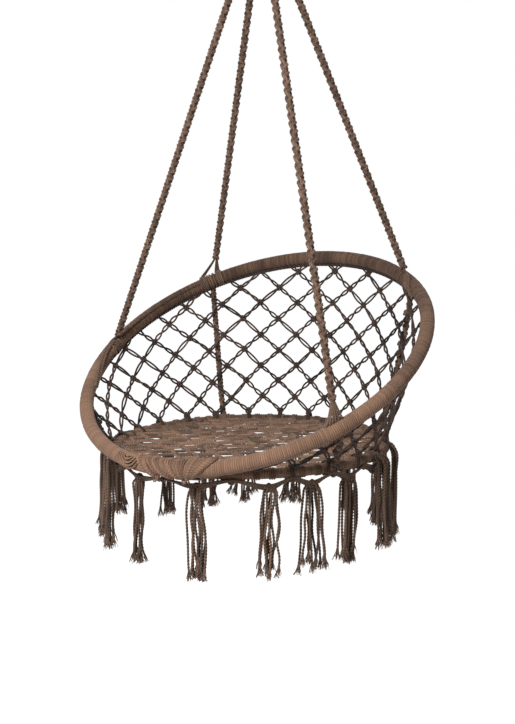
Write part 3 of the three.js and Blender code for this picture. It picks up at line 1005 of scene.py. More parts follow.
@dataclass
class Fringe:
    """The scalloped cords under the seat hoop and the tassels on them."""

    chair: Chair
    finish: bpy.types.Material
    angles: tuple[int, ...] = (168, 139, 122, 104, 87, 66, 44, 18, -12, -36, -54, -76, -98, -122, -142, -163)
    cord_radius: float = 3.5 * MM
    drop: float = 18 * MM
    gap: float = 0.3 * MM
    front_reach: float = 24.0
    swag_cord: Cord = Cord(2.9 * MM, 7, 2, 12 * MM, 0.3)
    swag_tones: tuple[float, ...] = (0.4, 0.6, 0.5)
    swag_steps: int = 1300
    swag_rise: float = 4.6 * MM
    swag_spread: float = 1.4 * MM
    tie_turn: float = -92.0
    tie_fans: Pair = (9.0, 26.0)
    tie_lifts: Pair = (5.5 * MM, 0.5 * MM)
    foot_rise: float = 4 * MM
    foot_knot: Knot = Knot(Cord(3.0 * MM, 6, 2, 11 * MM), 2.6 * MM, 3.2 * MM, 1.3)
    tie_knot: Knot = Knot(Cord(3.0 * MM, 6, 2, 11 * MM), 1.9 * MM, 2.4 * MM, 2.1)
    knot_tones: Pair = (0.5, 0.4)
    strand_cord: Cord = Cord(3.15 * MM, 6, 2, 13.5 * MM, 0.32)
    strand_counts: tuple[int, int] = (9, 13)
    strand_tones: Pair = (0.2, 0.85)
    strand_steps: int = 140
    sketch_steps: int = 60
    first_seed: int = 500
    rank_wander: float = 0.07
    widths: Pair = (12 * MM, 16 * MM)
    neck_share: float = 0.72
    neck_length_share: float = 0.1
    splays: Pair = (2 * MM, 11 * MM)
    splay_power: float = 1.6
    strand_splay: float = 3.4 * MM
    tassel_splay: float = 4.0 * MM
    strand_lean: float = 3.5 * MM
    lean_power: float = 1.5
    strand_bow: float = 2.0 * MM
    tassel_bow: float = 2.5 * MM
    fan_bow: float = 3 * MM
    stray_bows: Pair = (7 * MM, 11 * MM)
    stray_bias: float = 0.01
    waves: Pair = (1.0 * MM, 2.8 * MM)
    wave_counts: Pair = (1.0, 2.2)
    wave_depth_share: float = 0.6
    depths: Pair = (2.8 * MM, 6.4 * MM)
    start_rise: float = 5.5 * MM
    longest: float = 203 * MM
    shortest: float = 168 * MM
    least_length_share: float = 0.4
    cut_drop: float = 26 * MM
    cut_power: float = 1.6
    declared_share: float = 0.9
    fray_length: float = 27 * MM
    fray_overlap_share: float = 0.75
    fray_reach_shares: Pair = (0.55, 1.0)
    fray_spread_shares: Pair = (0.02, 0.36)
    fray_bend_share: float = 0.07
    fray_root_shares: Pair = (0.2, 0.75)
    fray_station_shares: tuple[tuple[float, float, float], ...] = (
        (0.0, 0.0, 0.0),
        (0.3, 0.15, 0.0),
        (0.7, 0.6, 1.0),
        (1.0, 1.0, 0.0),
    )
    fray_way_steps: int = 12
    fray_root_steps: int = 3
    fray_tones: Pair = (0.5, 1.2)
    fibre_cord: Cord = Cord(0.6 * MM, 3, 1)
    fibres: int = 24
    looped: tuple[tuple[int, float], ...] = (
        (66, 20 * MM),
        (87, 27 * MM),
        (-98, 42 * MM),
        (-122, 27 * MM),
        (-142, 16 * MM),
    )
    loop_share: float = 0.17
    loop_start: float = math.radians(50)
    loop_sink: float = 3 * MM
    loop_length: float = 18 * MM
    loop_widening_share: float = 0.2

    def below(self, angle: float, drop: float) -> Array:
        """The point a drop below the seat hoop's centreline, with the cord under it."""
        return self.chair.seat.point(angle) - self.chair.seat.up * (drop + self.gap + self.cord_radius)

    def swag_points(self, rank: int) -> list[Array]:
        """The points of one cord of the scallops, low at each tassel and tied up between them.

        Args:
            rank: 0 for the lowest cord, and 1 and 2 for the ones over it.

        Returns:
            The points, once round.
        """
        seat = self.chair.seat
        places = sorted(self.angles)
        points = []
        for place, after in zip(places, places[1:] + [places[0] + 360]):
            low = self.below(math.radians(place), seat.section + self.drop - rank * self.swag_rise)
            points.append(low + seat.outward(math.radians(place)) * rank * self.swag_spread)
            middle = (place + after) / 2
            at_front = abs(abs((middle + 180) % 360 - 180) - 180) < self.front_reach
            turn = math.radians(self.tie_turn + rank * self.tie_fans[0 if at_front else 1])
            lift = self.cord_radius + self.tie_lifts[0 if at_front else 1]
            points.append(seat.around(math.radians(middle), turn, lift))
        return points

    def make_swag(self) -> None:
        """Makes the cords of the scallops, with knots at their feet and where they are tied up."""
        mesh = CordMesh()
        curves = [spline(self.swag_points(rank), closed=True) for rank in range(len(self.swag_tones))]
        lines = np.stack([even(curve, self.swag_steps)[:-1] for curve in curves])
        mesh.lay(lines, self.swag_cord, closed=True, tones=np.array(self.swag_tones))
        seat = self.chair.seat
        radians = np.radians(self.angles)
        foot_drop = seat.section + self.drop - self.foot_rise
        feet = np.array([self.below(angle, foot_drop) for angle in radians])
        ties = np.array(self.swag_points(1))[1::2]
        rows = (
            (self.foot_knot, feet, seat.outward(radians)),
            (self.tie_knot, ties, unit(ties - seat.centre)),
        )
        for (knot, centres, facing), tone in zip(rows, self.knot_tones):
            knot.lay(mesh, centres, facing, knot.row(len(centres)), tone)
        place_piece(mesh.build("fringe_swags", self.finish), Body.SEAT, "fringe_cord")

    def strand_paths(self, angle: float, draw: np.random.Generator, ranks: Array) -> Array:
        """The lines of one tassel's hanging strands.

        Args:
            angle: The tassel's place round the seat hoop.
            draw: Random numbers.
            ranks: Each strand's place across the tassel, from -1 to 1.

        Returns:
            An array of strands by points by 3, from the top down.
        """
        count = len(ranks)
        top = self.below(angle, self.chair.seat.section + self.drop)
        level = np.array([1.0, 1.0, 0.0])
        out = unit(self.chair.seat.outward(angle) * level)
        side = unit(self.chair.seat.along(angle) * level)
        reach = dict(self.looped).get(round(math.degrees(angle)), 0.0)
        over = float(reach > 0)
        if over:
            top = self.chair.seat.around(angle, self.loop_start, -self.loop_sink)
        front = np.where(np.arange(count) % 2 == 0, 1.0, -1.0)
        share = np.linspace(0, 1, self.sketch_steps)[None]
        arch = over * math.pi / 2 * np.clip(share / self.loop_share, 0, 1)
        wide = ranks * draw.uniform(*self.widths) * (1 + self.loop_widening_share * over)
        splay = ranks * draw.uniform(*self.splays) + draw.normal(0, self.strand_splay, count)
        splay = splay + draw.normal(0, self.tassel_splay)
        lean = draw.normal(0, self.strand_lean, count)
        bow = draw.normal(0, self.strand_bow, count) + ranks * draw.uniform(-self.fan_bow, self.fan_bow)
        bow = bow + draw.normal(0, self.tassel_bow)
        stray = int(draw.integers(0, count))
        bow[stray] = np.sign(ranks[stray] + self.stray_bias) * draw.uniform(*self.stray_bows)
        wave = draw.uniform(*self.waves, count)
        phase, swings = draw.uniform(0, TURN, count), draw.uniform(*self.wave_counts, count)
        length = self.lengths(draw, count) - self.fray_length * self.fray_overlap_share
        settled = ease(share / self.neck_length_share)
        waves = wave[:, None] * np.sin(TURN * swings[:, None] * share + phase[:, None]) * settled
        sideways = (
            wide[:, None] * (self.neck_share + (1 - self.neck_share) * settled)
            + bow[:, None] * np.sin(math.pi * share)
            + splay[:, None] * share**self.splay_power
            + waves
        )
        depth = draw.uniform(*self.depths, count)
        outwards = (front * depth)[:, None] * settled + lean[:, None] * share**self.lean_power
        outwards = outwards + waves * self.wave_depth_share + reach * np.sin(arch)
        fall = np.where((share < self.loop_share) & (over > 0), self.loop_share * (1 - np.cos(arch)), share)
        down = (length[:, None] + over * self.loop_length) * fall - (1 - over) * self.start_rise
        lines = top + sideways[..., None] * side + outwards[..., None] * out - down[..., None] * UP
        return np.stack([even(line, self.strand_steps) for line in lines])

    def lengths(self, draw: np.random.Generator, count: int) -> Array:
        """How far down each strand of a tassel reaches, with its frayed end.

        Args:
            draw: Random numbers.
            count: How many strands it has.

        Returns:
            The strands' lengths.
        """
        whole = draw.uniform(self.least_length_share, 1.0)
        drops = draw.uniform(0, 1, count) ** self.cut_power
        return self.shortest + (self.longest - self.shortest) * whole - drops * self.cut_drop

    def make_tassel(self, number: int, angle: int) -> None:
        """Makes one tassel, with two of its strands as cords of their own.

        Args:
            number: Its number, from 1.
            angle: Its place round the seat hoop, in degrees.
        """
        draw = np.random.default_rng(self.first_seed + number)
        strands = int(draw.integers(*self.strand_counts))
        ranks = np.linspace(-1, 1, strands) + draw.normal(0, self.rank_wander, strands)
        paths = self.strand_paths(math.radians(angle), draw, ranks)
        tones = draw.uniform(*self.strand_tones, strands)
        label = f"tassel_{number:02d}"
        alone = [strands // 4, strands - 1 - strands // 4]
        rest = [index for index in range(strands) if index not in alone]
        mesh = CordMesh()
        mesh.lay(paths[rest], self.strand_cord, tones=tones[rest])
        self.lay_fray(mesh, paths, draw)
        place_piece(mesh.build(f"{label}_strands", self.finish), Body.SEAT, label)
        for count, index in enumerate(alone, start=1):
            single = CordMesh()
            single.lay(paths[index], self.strand_cord, tones=tones[index])
            piece = single.build(f"{label}_cord_{count}", self.finish)
            place_piece(piece, Body.SEAT, label)
            2 * self.declared_share * self.strand_cord.radius

    def lay_fray(self, mesh: CordMesh, paths: Array, draw: np.random.Generator) -> None:
        """Lays the loose fibres at the strands' cut ends.

        Args:
            mesh: The mesh that takes them.
            paths: The strands' lines.
            draw: Random numbers.
        """
        shape = (len(paths), self.fibres)
        way = unit(paths[:, -1] - paths[:, -self.fray_way_steps])[:, None]
        sideways = draw.normal(0, 1, (*shape, 3))
        sideways = unit(sideways - dot(sideways, way) * way)
        reach = self.fray_length * draw.uniform(*self.fray_reach_shares, shape)[..., None]
        spread = sideways * reach * draw.uniform(*self.fray_spread_shares, shape)[..., None]
        bend = np.cross(way, sideways) * reach * draw.normal(0, self.fray_bend_share, shape)[..., None]
        from_middle = self.strand_cord.radius * draw.uniform(*self.fray_root_shares, shape)[..., None]
        foot = paths[:, None, -self.fray_root_steps] + sideways * from_middle
        stations = [
            foot + way * reach * onward + spread * aside + bend * bent
            for onward, aside, bent in self.fray_station_shares
        ]
        lines = np.stack(stations, axis=2).reshape(-1, len(stations), 3)
        mesh.lay(lines, self.fibre_cord, tones=draw.uniform(*self.fray_tones, len(lines)))

    def make(self) -> None:
        """Makes the scallops and all tassels."""
        self.make_swag()
        for number, angle in enumerate(self.angles, start=1):
            self.make_tassel(number, angle)


@dataclass
class Hoops:
    """The windings round both hoops, and the edge cord that the net hangs from."""

    chair: Chair
    finishes: Finishes
    cord_pitch: float = 4.4 * MM
    ridge: float = 1.0 * MM
    # How far painted shade darkens the turns at the rear of each winding.
    rear_painted_shade: float = 0.6
    steps_per_turn: int = 4
    sides: int = 14
    seeds: tuple[int, int] = (11, 12)
    width_wander: float = 0.06
    lift_wander: float = 0.16 * MM
    tones: Pair = (0.62, 0.9)
    edge_cord: Cord = Cord(2.3 * MM, 6, 2, 11 * MM)
    edge_lay: float = 12 * MM
    edge_reach: float = math.radians(155)
    edge_sink_share: float = 0.8
    edge_places: int = 1500
    edge_steps: int = 1700
    edge_tones: Pair = (0.25, 0.5)
    seam_cord: Cord = Cord(1.1 * MM, 5, 2, 9 * MM)
    seam_lay: float = 8 * MM
    seam_distance: float = 0.9 * MM
    seam_lift: float = 0.2 * MM
    seam: Pair = (-88.0, -50.0)
    seam_turn: float = math.radians(136)
    seam_places: int = 400
    seam_steps: int = 420
    seam_tones: Pair = (0.6, 1.0)

    def make_winding(self, hoop: Hoop, name: str, seed: int, finish: bpy.types.Material) -> bpy.types.Object:
        """Makes the ridged surface of one winding.

        Args:
            hoop: The hoop.
            name: The piece's name.
            seed: The seed of its unevenness.
            finish: Its material.

        Returns:
            The piece.
        """
        draw = np.random.default_rng(seed)
        turns = round(TURN * hoop.radius / self.cord_pitch)
        widths = 1 + draw.normal(0, self.width_wander, turns)
        edges = np.concatenate([[0], np.cumsum(widths)]) / widths.sum()
        rows = turns * self.steps_per_turn
        wound = np.arange(rows)[:, None] / self.steps_per_turn - np.arange(self.sides)[None] / self.sides
        laps = np.floor(wound / turns)
        angle = TURN * (laps + np.interp(wound - laps * turns, np.arange(turns + 1), edges))
        section = np.broadcast_to(TURN * np.arange(self.sides) / self.sides, angle.shape)
        within = np.arange(rows) % self.steps_per_turn / self.steps_per_turn
        profile = np.sqrt(1 - (2 * within - 1) ** 2)
        lifts = np.repeat(draw.normal(0, self.lift_wander, turns), self.steps_per_turn)
        height = np.broadcast_to((self.ridge * (profile - 1) + lifts * profile)[:, None], angle.shape)
        points = hoop.around(angle, section, height)
        # Painted shade: each turn's tone drops the nearer it lies to the rear of the hoop, where the winding
        # is in shade.
        painted_rear_shade = self.rear_painted_shade * (0.5 + 0.5 * np.cos(TURN * edges[:-1]))
        shades = np.repeat(draw.uniform(*self.tones, turns) - painted_rear_shade, self.steps_per_turn)
        mesh = CordMesh()
        mesh.add(points.reshape(-1, 3), np.repeat(shades, self.sides))
        row, side = np.meshgrid(np.arange(rows), np.arange(self.sides), indexing="ij")
        last = side == self.sides - 1
        seam_back = np.where(last, self.steps_per_turn, 0)
        next_side = np.where(last, 0, side + 1)
        quads = np.stack(
            [
                row * self.sides + side,
                (row - seam_back) % rows * self.sides + next_side,
                (row + 1 - seam_back) % rows * self.sides + next_side,
                (row + 1) % rows * self.sides + side,
            ],
            axis=-1,
        )
        turn, share = row / self.steps_per_turn, side / self.sides
        turn_after, share_after = (row + 1) / self.steps_per_turn, (side + 1) / self.sides
        corners = ((share, turn), (share_after, turn), (share_after, turn_after), (share, turn_after))
        uvs = np.stack([np.stack(corner, axis=-1) for corner in corners], axis=2)
        mesh.add_faces(quads.reshape(-1, 4), uvs)
        return mesh.build(name, finish)

    def make_edge(self) -> None:
        """Makes the twisted cord along the inner lower edge of the back hoop, and a seam on its left."""
        back = self.chair.back
        angles = np.linspace(-self.edge_reach, self.edge_reach, self.edge_places)
        drop = back.section + self.edge_cord.radius * self.edge_sink_share
        axis = even(back.point(angles) - self.chair.net_along(angles) * drop, self.edge_steps)
        mesh = CordMesh()
        strands = twisted(axis, 2, self.edge_lay, self.edge_cord.radius)
        mesh.lay(strands, self.edge_cord, tones=np.array(self.edge_tones))
        angles = np.radians(np.linspace(*self.seam, self.seam_places))
        axis = even(back.around(angles, self.seam_turn, self.seam_lift), self.seam_steps)
        strands = twisted(axis, 2, self.seam_lay, self.seam_distance)
        mesh.lay(strands, self.seam_cord, tones=np.array(self.seam_tones))
        # The edge cord takes the back net's finish, whose darker dye is painted shade.
        place_piece(mesh.build("back_hoop_edge_cord", self.finishes.net), Body.FRAME)

    def make(self) -> None:
        """Makes both windings and the edge cord."""
        chair, finishes = self.chair, self.finishes
        back = self.make_winding(chair.back, "back_hoop_winding", self.seeds[0], finishes.back_winding)
        place_piece(back, Body.FRAME, "back_hoop_wrap")
        seat = self.make_winding(chair.seat, "seat_hoop_winding", self.seeds[1], finishes.seat_winding)
        place_piece(seat, Body.SEAT, "seat_hoop_wrap")
        self.make_edge()


@dataclass
class BackNet:
    """The knotted net from the seat hoop up to the back hoop."""

    chair: Chair
    finish: bpy.types.Material
    columns: int = 24
    phase: float = math.radians(3)
    reach: float = math.radians(152)
    row_pitch: float = 39.4 * MM
    first_row: float = 7.4 * MM
    seed: int = 21
    wander: Pair = (0.005, 2.0 * MM)
    cord: Cord = Cord(2.3 * MM, 6, 2, 10 * MM)
    eyes: Pair = (2.4 * MM, 4.4 * MM)
    crossings: tuple[float, ...] = (0.5, 1.0, 1.0)
    bow_share: float = 1.6
    pair_gap_share: float = 0.95
    pair_contrast: float = 0.15
    leg_tones: Pair = (0.0, 0.7)
    leg_steps: int = 14
    trial_steps: int = 41
    leg_margin: float = 1 * MM
    least_leg_share: float = 0.12
    knot: Knot = Knot(Cord(2.3 * MM, 6, 2, 10 * MM), 2.4 * MM, 2.6 * MM)
    knot_margin: float = 6 * MM
    knot_tones: Pair = (0.4, 1.0)
    sectors: int = 12
    foot_turns: int = 2
    foot_steps: int = 22
    foot_pitch: float = 5 * MM
    foot_power: int = 6
    foot_wander: float = 0.004
    foot_lift_share: float = 0.7
    foot_tone: float = 0.45
    foot_reach: float = math.radians(142)

    def place_knots(self, draw: np.random.Generator) -> Knots:
        """Places the knots, each a little off its even place.

        Args:
            draw: Random numbers.

        Returns:
            The angle and height of each by row and column.
        """
        rows = int(float(self.chair.rise(0.0)) / self.row_pitch) + 3
        knots = {}
        for row in range(rows):
            shift = -0.5 if row % 2 == 0 else 0.0
            for step in range(-self.columns, self.columns + 1):
                angle = self.phase + (step + shift) * TURN / self.columns
                if abs(angle) < self.reach:
                    place = np.array([angle, self.first_row + row * self.row_pitch])
                    knots[(row, step + shift)] = place + draw.normal(0, 1, 2) * self.wander
        return knots

    def clear(self, places: Array, margin: float) -> Array:
        """Whether places of the net, as angles and heights, are clear of the back hoop by a margin."""
        return places[..., 1] < self.chair.rise(places[..., 0]) - margin

    def make(self) -> None:
        """Makes the net in sectors, each a piece of its own."""
        draw = np.random.default_rng(self.seed)
        knots = self.place_knots(draw)
        shares = np.linspace(0, 1, self.trial_steps)
        spans = []
        for low, high in tied_pairs(knots):
            if not self.clear(low, self.knot_margin):
                continue
            inside = self.clear(low + shares[:, None] * (high - low), self.leg_margin)
            share = 1.0 if inside.all() else float(shares[np.argmin(inside)])
            if share > self.least_leg_share:
                spans.append(np.array([*low, *(low + share * (high - low)), share]))
        kept = np.array([place for place in knots.values() if self.clear(place, self.knot_margin)])
        self.make_sectors(np.array(spans), kept, draw)
        lowest = np.array([place[0] for (row, _), place in knots.items() if row == 0])
        self.make_feet(lowest[np.abs(lowest) < self.foot_reach], draw)

    def make_sectors(self, spans: Array, knots: Array, draw: np.random.Generator) -> None:
        """Makes the pieces.

        Args:
            spans: Lower place, upper place and share of each leg.
            knots: The places of the knots.
            draw: Random numbers.
        """
        low, high, shares = spans[:, :2], spans[:, 2:4], spans[:, 4]
        middles = (low + high) / 2
        eyes = draw.uniform(*self.eyes, len(spans))
        crossings = shares * draw.choice(self.crossings, len(spans))
        tones = draw.uniform(*self.leg_tones, len(spans))
        edges = np.linspace(-self.reach, self.reach, self.sectors + 1)
        for sector, (left, right) in enumerate(zip(edges, edges[1:]), start=1):
            mine = (middles[:, 0] >= left) & (middles[:, 0] < right)
            tied = knots[(knots[:, 0] >= left) & (knots[:, 0] < right)].T
            mesh = CordMesh()
            self.lay_legs(
                mesh,
                self.chair.net_point(*low[mine].T),
                self.chair.net_point(*high[mine].T),
                self.chair.net_normal(*middles[mine].T),
                eyes[mine],
                crossings[mine],
                tones[mine],
            )
            self.knot.lay(
                mesh,
                self.chair.net_point(*tied),
                self.chair.net_normal(*tied),
                draw.uniform(0, TURN, tied.shape[1]),
                draw.uniform(*self.knot_tones, tied.shape[1]),
            )
            piece = mesh.build(f"back_net_{sector:02d}", self.finish)
            middle = (left + right) / 2
            start, end = self.chair.back.point(middle), self.chair.seat.point(middle)
            blend_piece(piece, end, "back_net" if sector == 1 else None)

    def lay_legs(
        self,
        mesh: CordMesh,
        starts: Array,
        ends: Array,
        facing: Array,
        eyes: Array,
        crossings: Array,
        tones: Array,
    ) -> None:
        """Lays the pairs of cords between knots. A pair crosses midway and leaves an eye on both sides.

        Args:
            mesh: The mesh that takes them.
            starts: Where the pairs start.
            ends: Where they end.
            facing: The net's directions there.
            eyes: Half the width of each pair's eyes.
            crossings: Turns of each pair round itself.
            tones: The shade of each pair.
        """
        share = np.linspace(0, 1, self.leg_steps)
        way = unit(ends - starts)
        aside = unit(np.cross(facing, way))
        turn = TURN * crossings[:, None] * share[None]
        middle = starts[:, None] + share[None, :, None] * (ends - starts)[:, None]
        bow = self.bow_share * (eyes - eyes.mean())[:, None] * np.sin(math.pi * share)[None]
        middle = middle + bow[..., None] * aside[:, None]
        apart = self.cord.radius * self.pair_gap_share * np.cos(turn)
        sideways = (eyes[:, None] * np.sin(turn))[..., None] * aside[:, None]
        offset = sideways + apart[..., None] * np.cross(way, aside)[:, None]
        mesh.lay(middle + offset, self.cord, tones=tones)
        mesh.lay(middle - offset, self.cord, tones=tones + self.pair_contrast)

    def make_feet(self, angles: Array, draw: np.random.Generator) -> None:
        """Makes the loops that hold the lowest knots to the seat hoop.

        Args:
            angles: The places of the lowest knots.
            draw: Random numbers.
        """
        seat = self.chair.seat
        upward = self.chair.net_along(angles)
        towards = np.arctan2(dot(upward, seat.up), dot(upward, seat.outward(angles)))
        share = np.linspace(0, 1, self.foot_steps * self.foot_turns)
        turn = towards + math.pi + TURN * self.foot_turns * share[None]
        slide = (share[None] - 0.5) * self.foot_turns * self.foot_pitch / seat.radius
        pull = np.maximum(np.cos(turn - towards), 0) ** self.foot_power * self.first_row
        places = angles[:, None] + slide + draw.normal(0, self.foot_wander, (len(angles), 1))
        lift = pull + self.cord.radius * self.foot_lift_share
        mesh = CordMesh()
        mesh.lay(seat.around(places, turn, lift), self.cord, tones=self.foot_tone)
        place_piece(mesh.build("back_net_feet", self.finish), Body.SEAT)


@dataclass
class SeatNet:
    """The knotted seat and the hitches that hold it to its hoop."""

    chair: Chair
    finishes: Finishes
    pitch: float = 70 * MM
    row_pitch: float = 23.6 * MM
    height: float = 2 * MM
    clearance: float = 4 * MM
    overlap: float = 5 * MM
    trial_steps: int = 41
    seed: int = 31
    wander: float = 1.4 * MM
    cord: Cord = Cord(2.5 * MM, 6, 2, 11 * MM)
    ranks: tuple[float, ...] = (-0.9, 0.0, 0.9)
    crown: float = 1.5 * MM
    waist_share: float = 0.5
    leg_wander: float = 0.9 * MM
    leg_lift: float = 0.8 * MM
    leg_tones: Pair = (0.2, 0.95)
    leg_steps: int = 11
    knot: Knot = Knot(Cord(2.4 * MM, 6, 2, 11 * MM), 1.7 * MM, 1.8 * MM)
    knot_height: float = 1 * MM
    knot_tones: Pair = (0.2, 0.7)
    hitch_cord: Cord = Cord(1.9 * MM, 6, 2, 10 * MM)
    hitch_lift: float = 0.3 * MM
    hitch_groups: int = 60
    hitch_turns: int = 3
    hitch_steps: int = 20
    hitch_pitch: float = 4.5 * MM
    hitch_wander: float = 0.008
    hitch_turn_wander: float = 0.2
    hitch_tones: Pair = (0.3, 0.7)
    front_reach: float = 22.0

    def point(self, places: Array, height: float = 0.0) -> Array:
        """Points of the seat.

        Args:
            places: Distances to the right and to the rear of its middle.
            height: How far above the net they are.

        Returns:
            The points.
        """
        seat = self.chair.seat
        flat = places[..., :1] * seat.across + places[..., 1:] * seat.rear
        return seat.centre + flat + (self.height + height) * seat.up

    def make(self) -> None:
        """Makes the net's legs and knots, and its hitches."""
        draw = np.random.default_rng(self.seed)
        seat = self.chair.seat
        clear = seat.radius - seat.section - self.clearance
        knots = self.place_knots(draw)
        shares = np.linspace(0, 1, self.trial_steps)
        legs = []
        for pair in tied_pairs(knots):
            inner, outer = sorted(pair, key=lambda place: np.hypot(*place))
            if np.hypot(*inner) > clear:
                continue
            reached = inner[:, None] + shares * (outer - inner)[:, None]
            beyond = np.hypot(*reached) > clear + self.overlap
            share = float(shares[np.argmax(beyond)]) if beyond.any() else 1.0
            legs.append((inner, inner + share * (outer - inner)))
        self.make_legs(np.array(legs), draw)
        middles = np.array([place for place in knots.values() if np.hypot(*place) <= clear])
        mesh = CordMesh()
        self.knot.lay(
            mesh,
            self.point(middles, self.knot_height),
            np.broadcast_to(seat.up, (len(middles), 3)),
            draw.uniform(0, TURN, len(middles)),
            draw.uniform(*self.knot_tones, len(middles)),
        )
        place_piece(mesh.build("seat_net_knots", self.finishes.seat_net), Body.SEAT)
        self.make_hitches(draw)

    def place_knots(self, draw: np.random.Generator) -> Knots:
        """Places the knots.

        Args:
            draw: Random numbers.

        Returns:
            Their distances to the right and to the rear of the middle, by row and column.
        """
        rows = 2 * math.ceil(self.chair.seat.radius / self.row_pitch) + 1
        columns = math.ceil(self.chair.seat.radius / self.pitch) + 1
        knots = {}
        for row in range(rows):
            shift = 0.5 if row % 2 == 0 else 0.0
            for step in range(-columns, columns + 1):
                place = np.array([(step + shift) * self.pitch, (row - (rows - 1) / 2) * self.row_pitch])
                knots[(row, step + shift)] = place + draw.normal(0, self.wander, 2)
        return knots

    def make_legs(self, legs: Array, draw: np.random.Generator) -> None:
        """Makes the bands of cords between the knots.

        Args:
            legs: The two ends of each, to the right and to the rear.
            draw: Random numbers.
        """
        starts, ends = self.point(legs[:, 0]), self.point(legs[:, 1])
        aside = np.cross(self.chair.seat.up, unit(ends - starts))
        share = np.linspace(0, 1, self.leg_steps)
        swell = np.sin(math.pi * share)
        mesh = CordMesh()
        for rank in self.ranks:
            opened = self.waist_share + (1 - self.waist_share) * swell
            width = opened * rank * 2.0 * self.cord.radius
            wander = draw.normal(0, self.leg_wander, (len(legs), 1)) * swell
            over = self.crown if rank == 0 else 0.0
            lift = draw.normal(0, self.leg_lift, (len(legs), 1)) * swell + over
            paths = (
                starts[:, None]
                + share[None, :, None] * (ends - starts)[:, None]
                + (width + wander)[..., None] * aside[:, None]
                + lift[..., None] * self.chair.seat.up
            )
            mesh.lay(paths, self.cord, tones=draw.uniform(*self.leg_tones, len(legs)))
        place_piece(mesh.build("seat_net_cords", self.finishes.seat_net), Body.SEAT, "seat_net")

    def make_hitches(self, draw: np.random.Generator) -> None:
        """Makes the groups of turns that tie the net to the hoop, all round but under the front lashings.

        Args:
            draw: Random numbers.
        """
        seat = self.chair.seat
        degrees = np.arange(self.hitch_groups) * 360 / self.hitch_groups - 180
        angles = np.radians(degrees[np.abs(degrees) < 180 - self.front_reach])
        angles = angles + draw.normal(0, self.hitch_wander, len(angles))
        share = np.linspace(0, 1, self.hitch_steps * self.hitch_turns)
        start = math.pi + draw.normal(0, self.hitch_turn_wander, (len(angles), 1))
        slide = (share[None] - 0.5) * self.hitch_turns * self.hitch_pitch / seat.radius
        turn = start + TURN * self.hitch_turns * share[None]
        paths = seat.around(angles[:, None] + slide, turn, self.hitch_lift)
        mesh = CordMesh()
        mesh.lay(paths, self.hitch_cord, tones=draw.uniform(*self.hitch_tones, len(angles)))
        place_piece(mesh.build("seat_net_hitches", self.finishes.seat_net), Body.SEAT)


@dataclass(frozen=True)
class RopePlace:
    """Where one of the four ropes meets the hoops, in degrees from the rear, and how it is tied.

    Its braid opens into cords a little above the back hoop. They spread along the hoop and turn
    round its section between two directions, measured from outside through the top.
    """

    name: str
    hoop: float
    lower_start: float
    seat: float
    open_length: float
    spreads: tuple[float, ...]
    turn_from: float = 75.0
    turn_to: float = 265.0
    run_to: float | None = None
    run_turns: Pair = (105.0, 170.0)


ROPE_PLACES = (
    RopePlace("front_left", -92, -118, -124, 14 * MM, (-7, -2, 3), 90, 250, -117, (108, 172)),
    RopePlace("rear_left", -45, -45, -46, 46 * MM, (-25, -21, -17, 14, 19, 24), 60, 470),
    RopePlace("front_right", 125, 125, 114, 44 * MM, (-19, -12, -4, 3, 10, 18), 95, 300),
    RopePlace("rear_right", 41, 42, 43, 16 * MM, (-6, -1, 4), 90, 250, 51, (98, 190)),
)


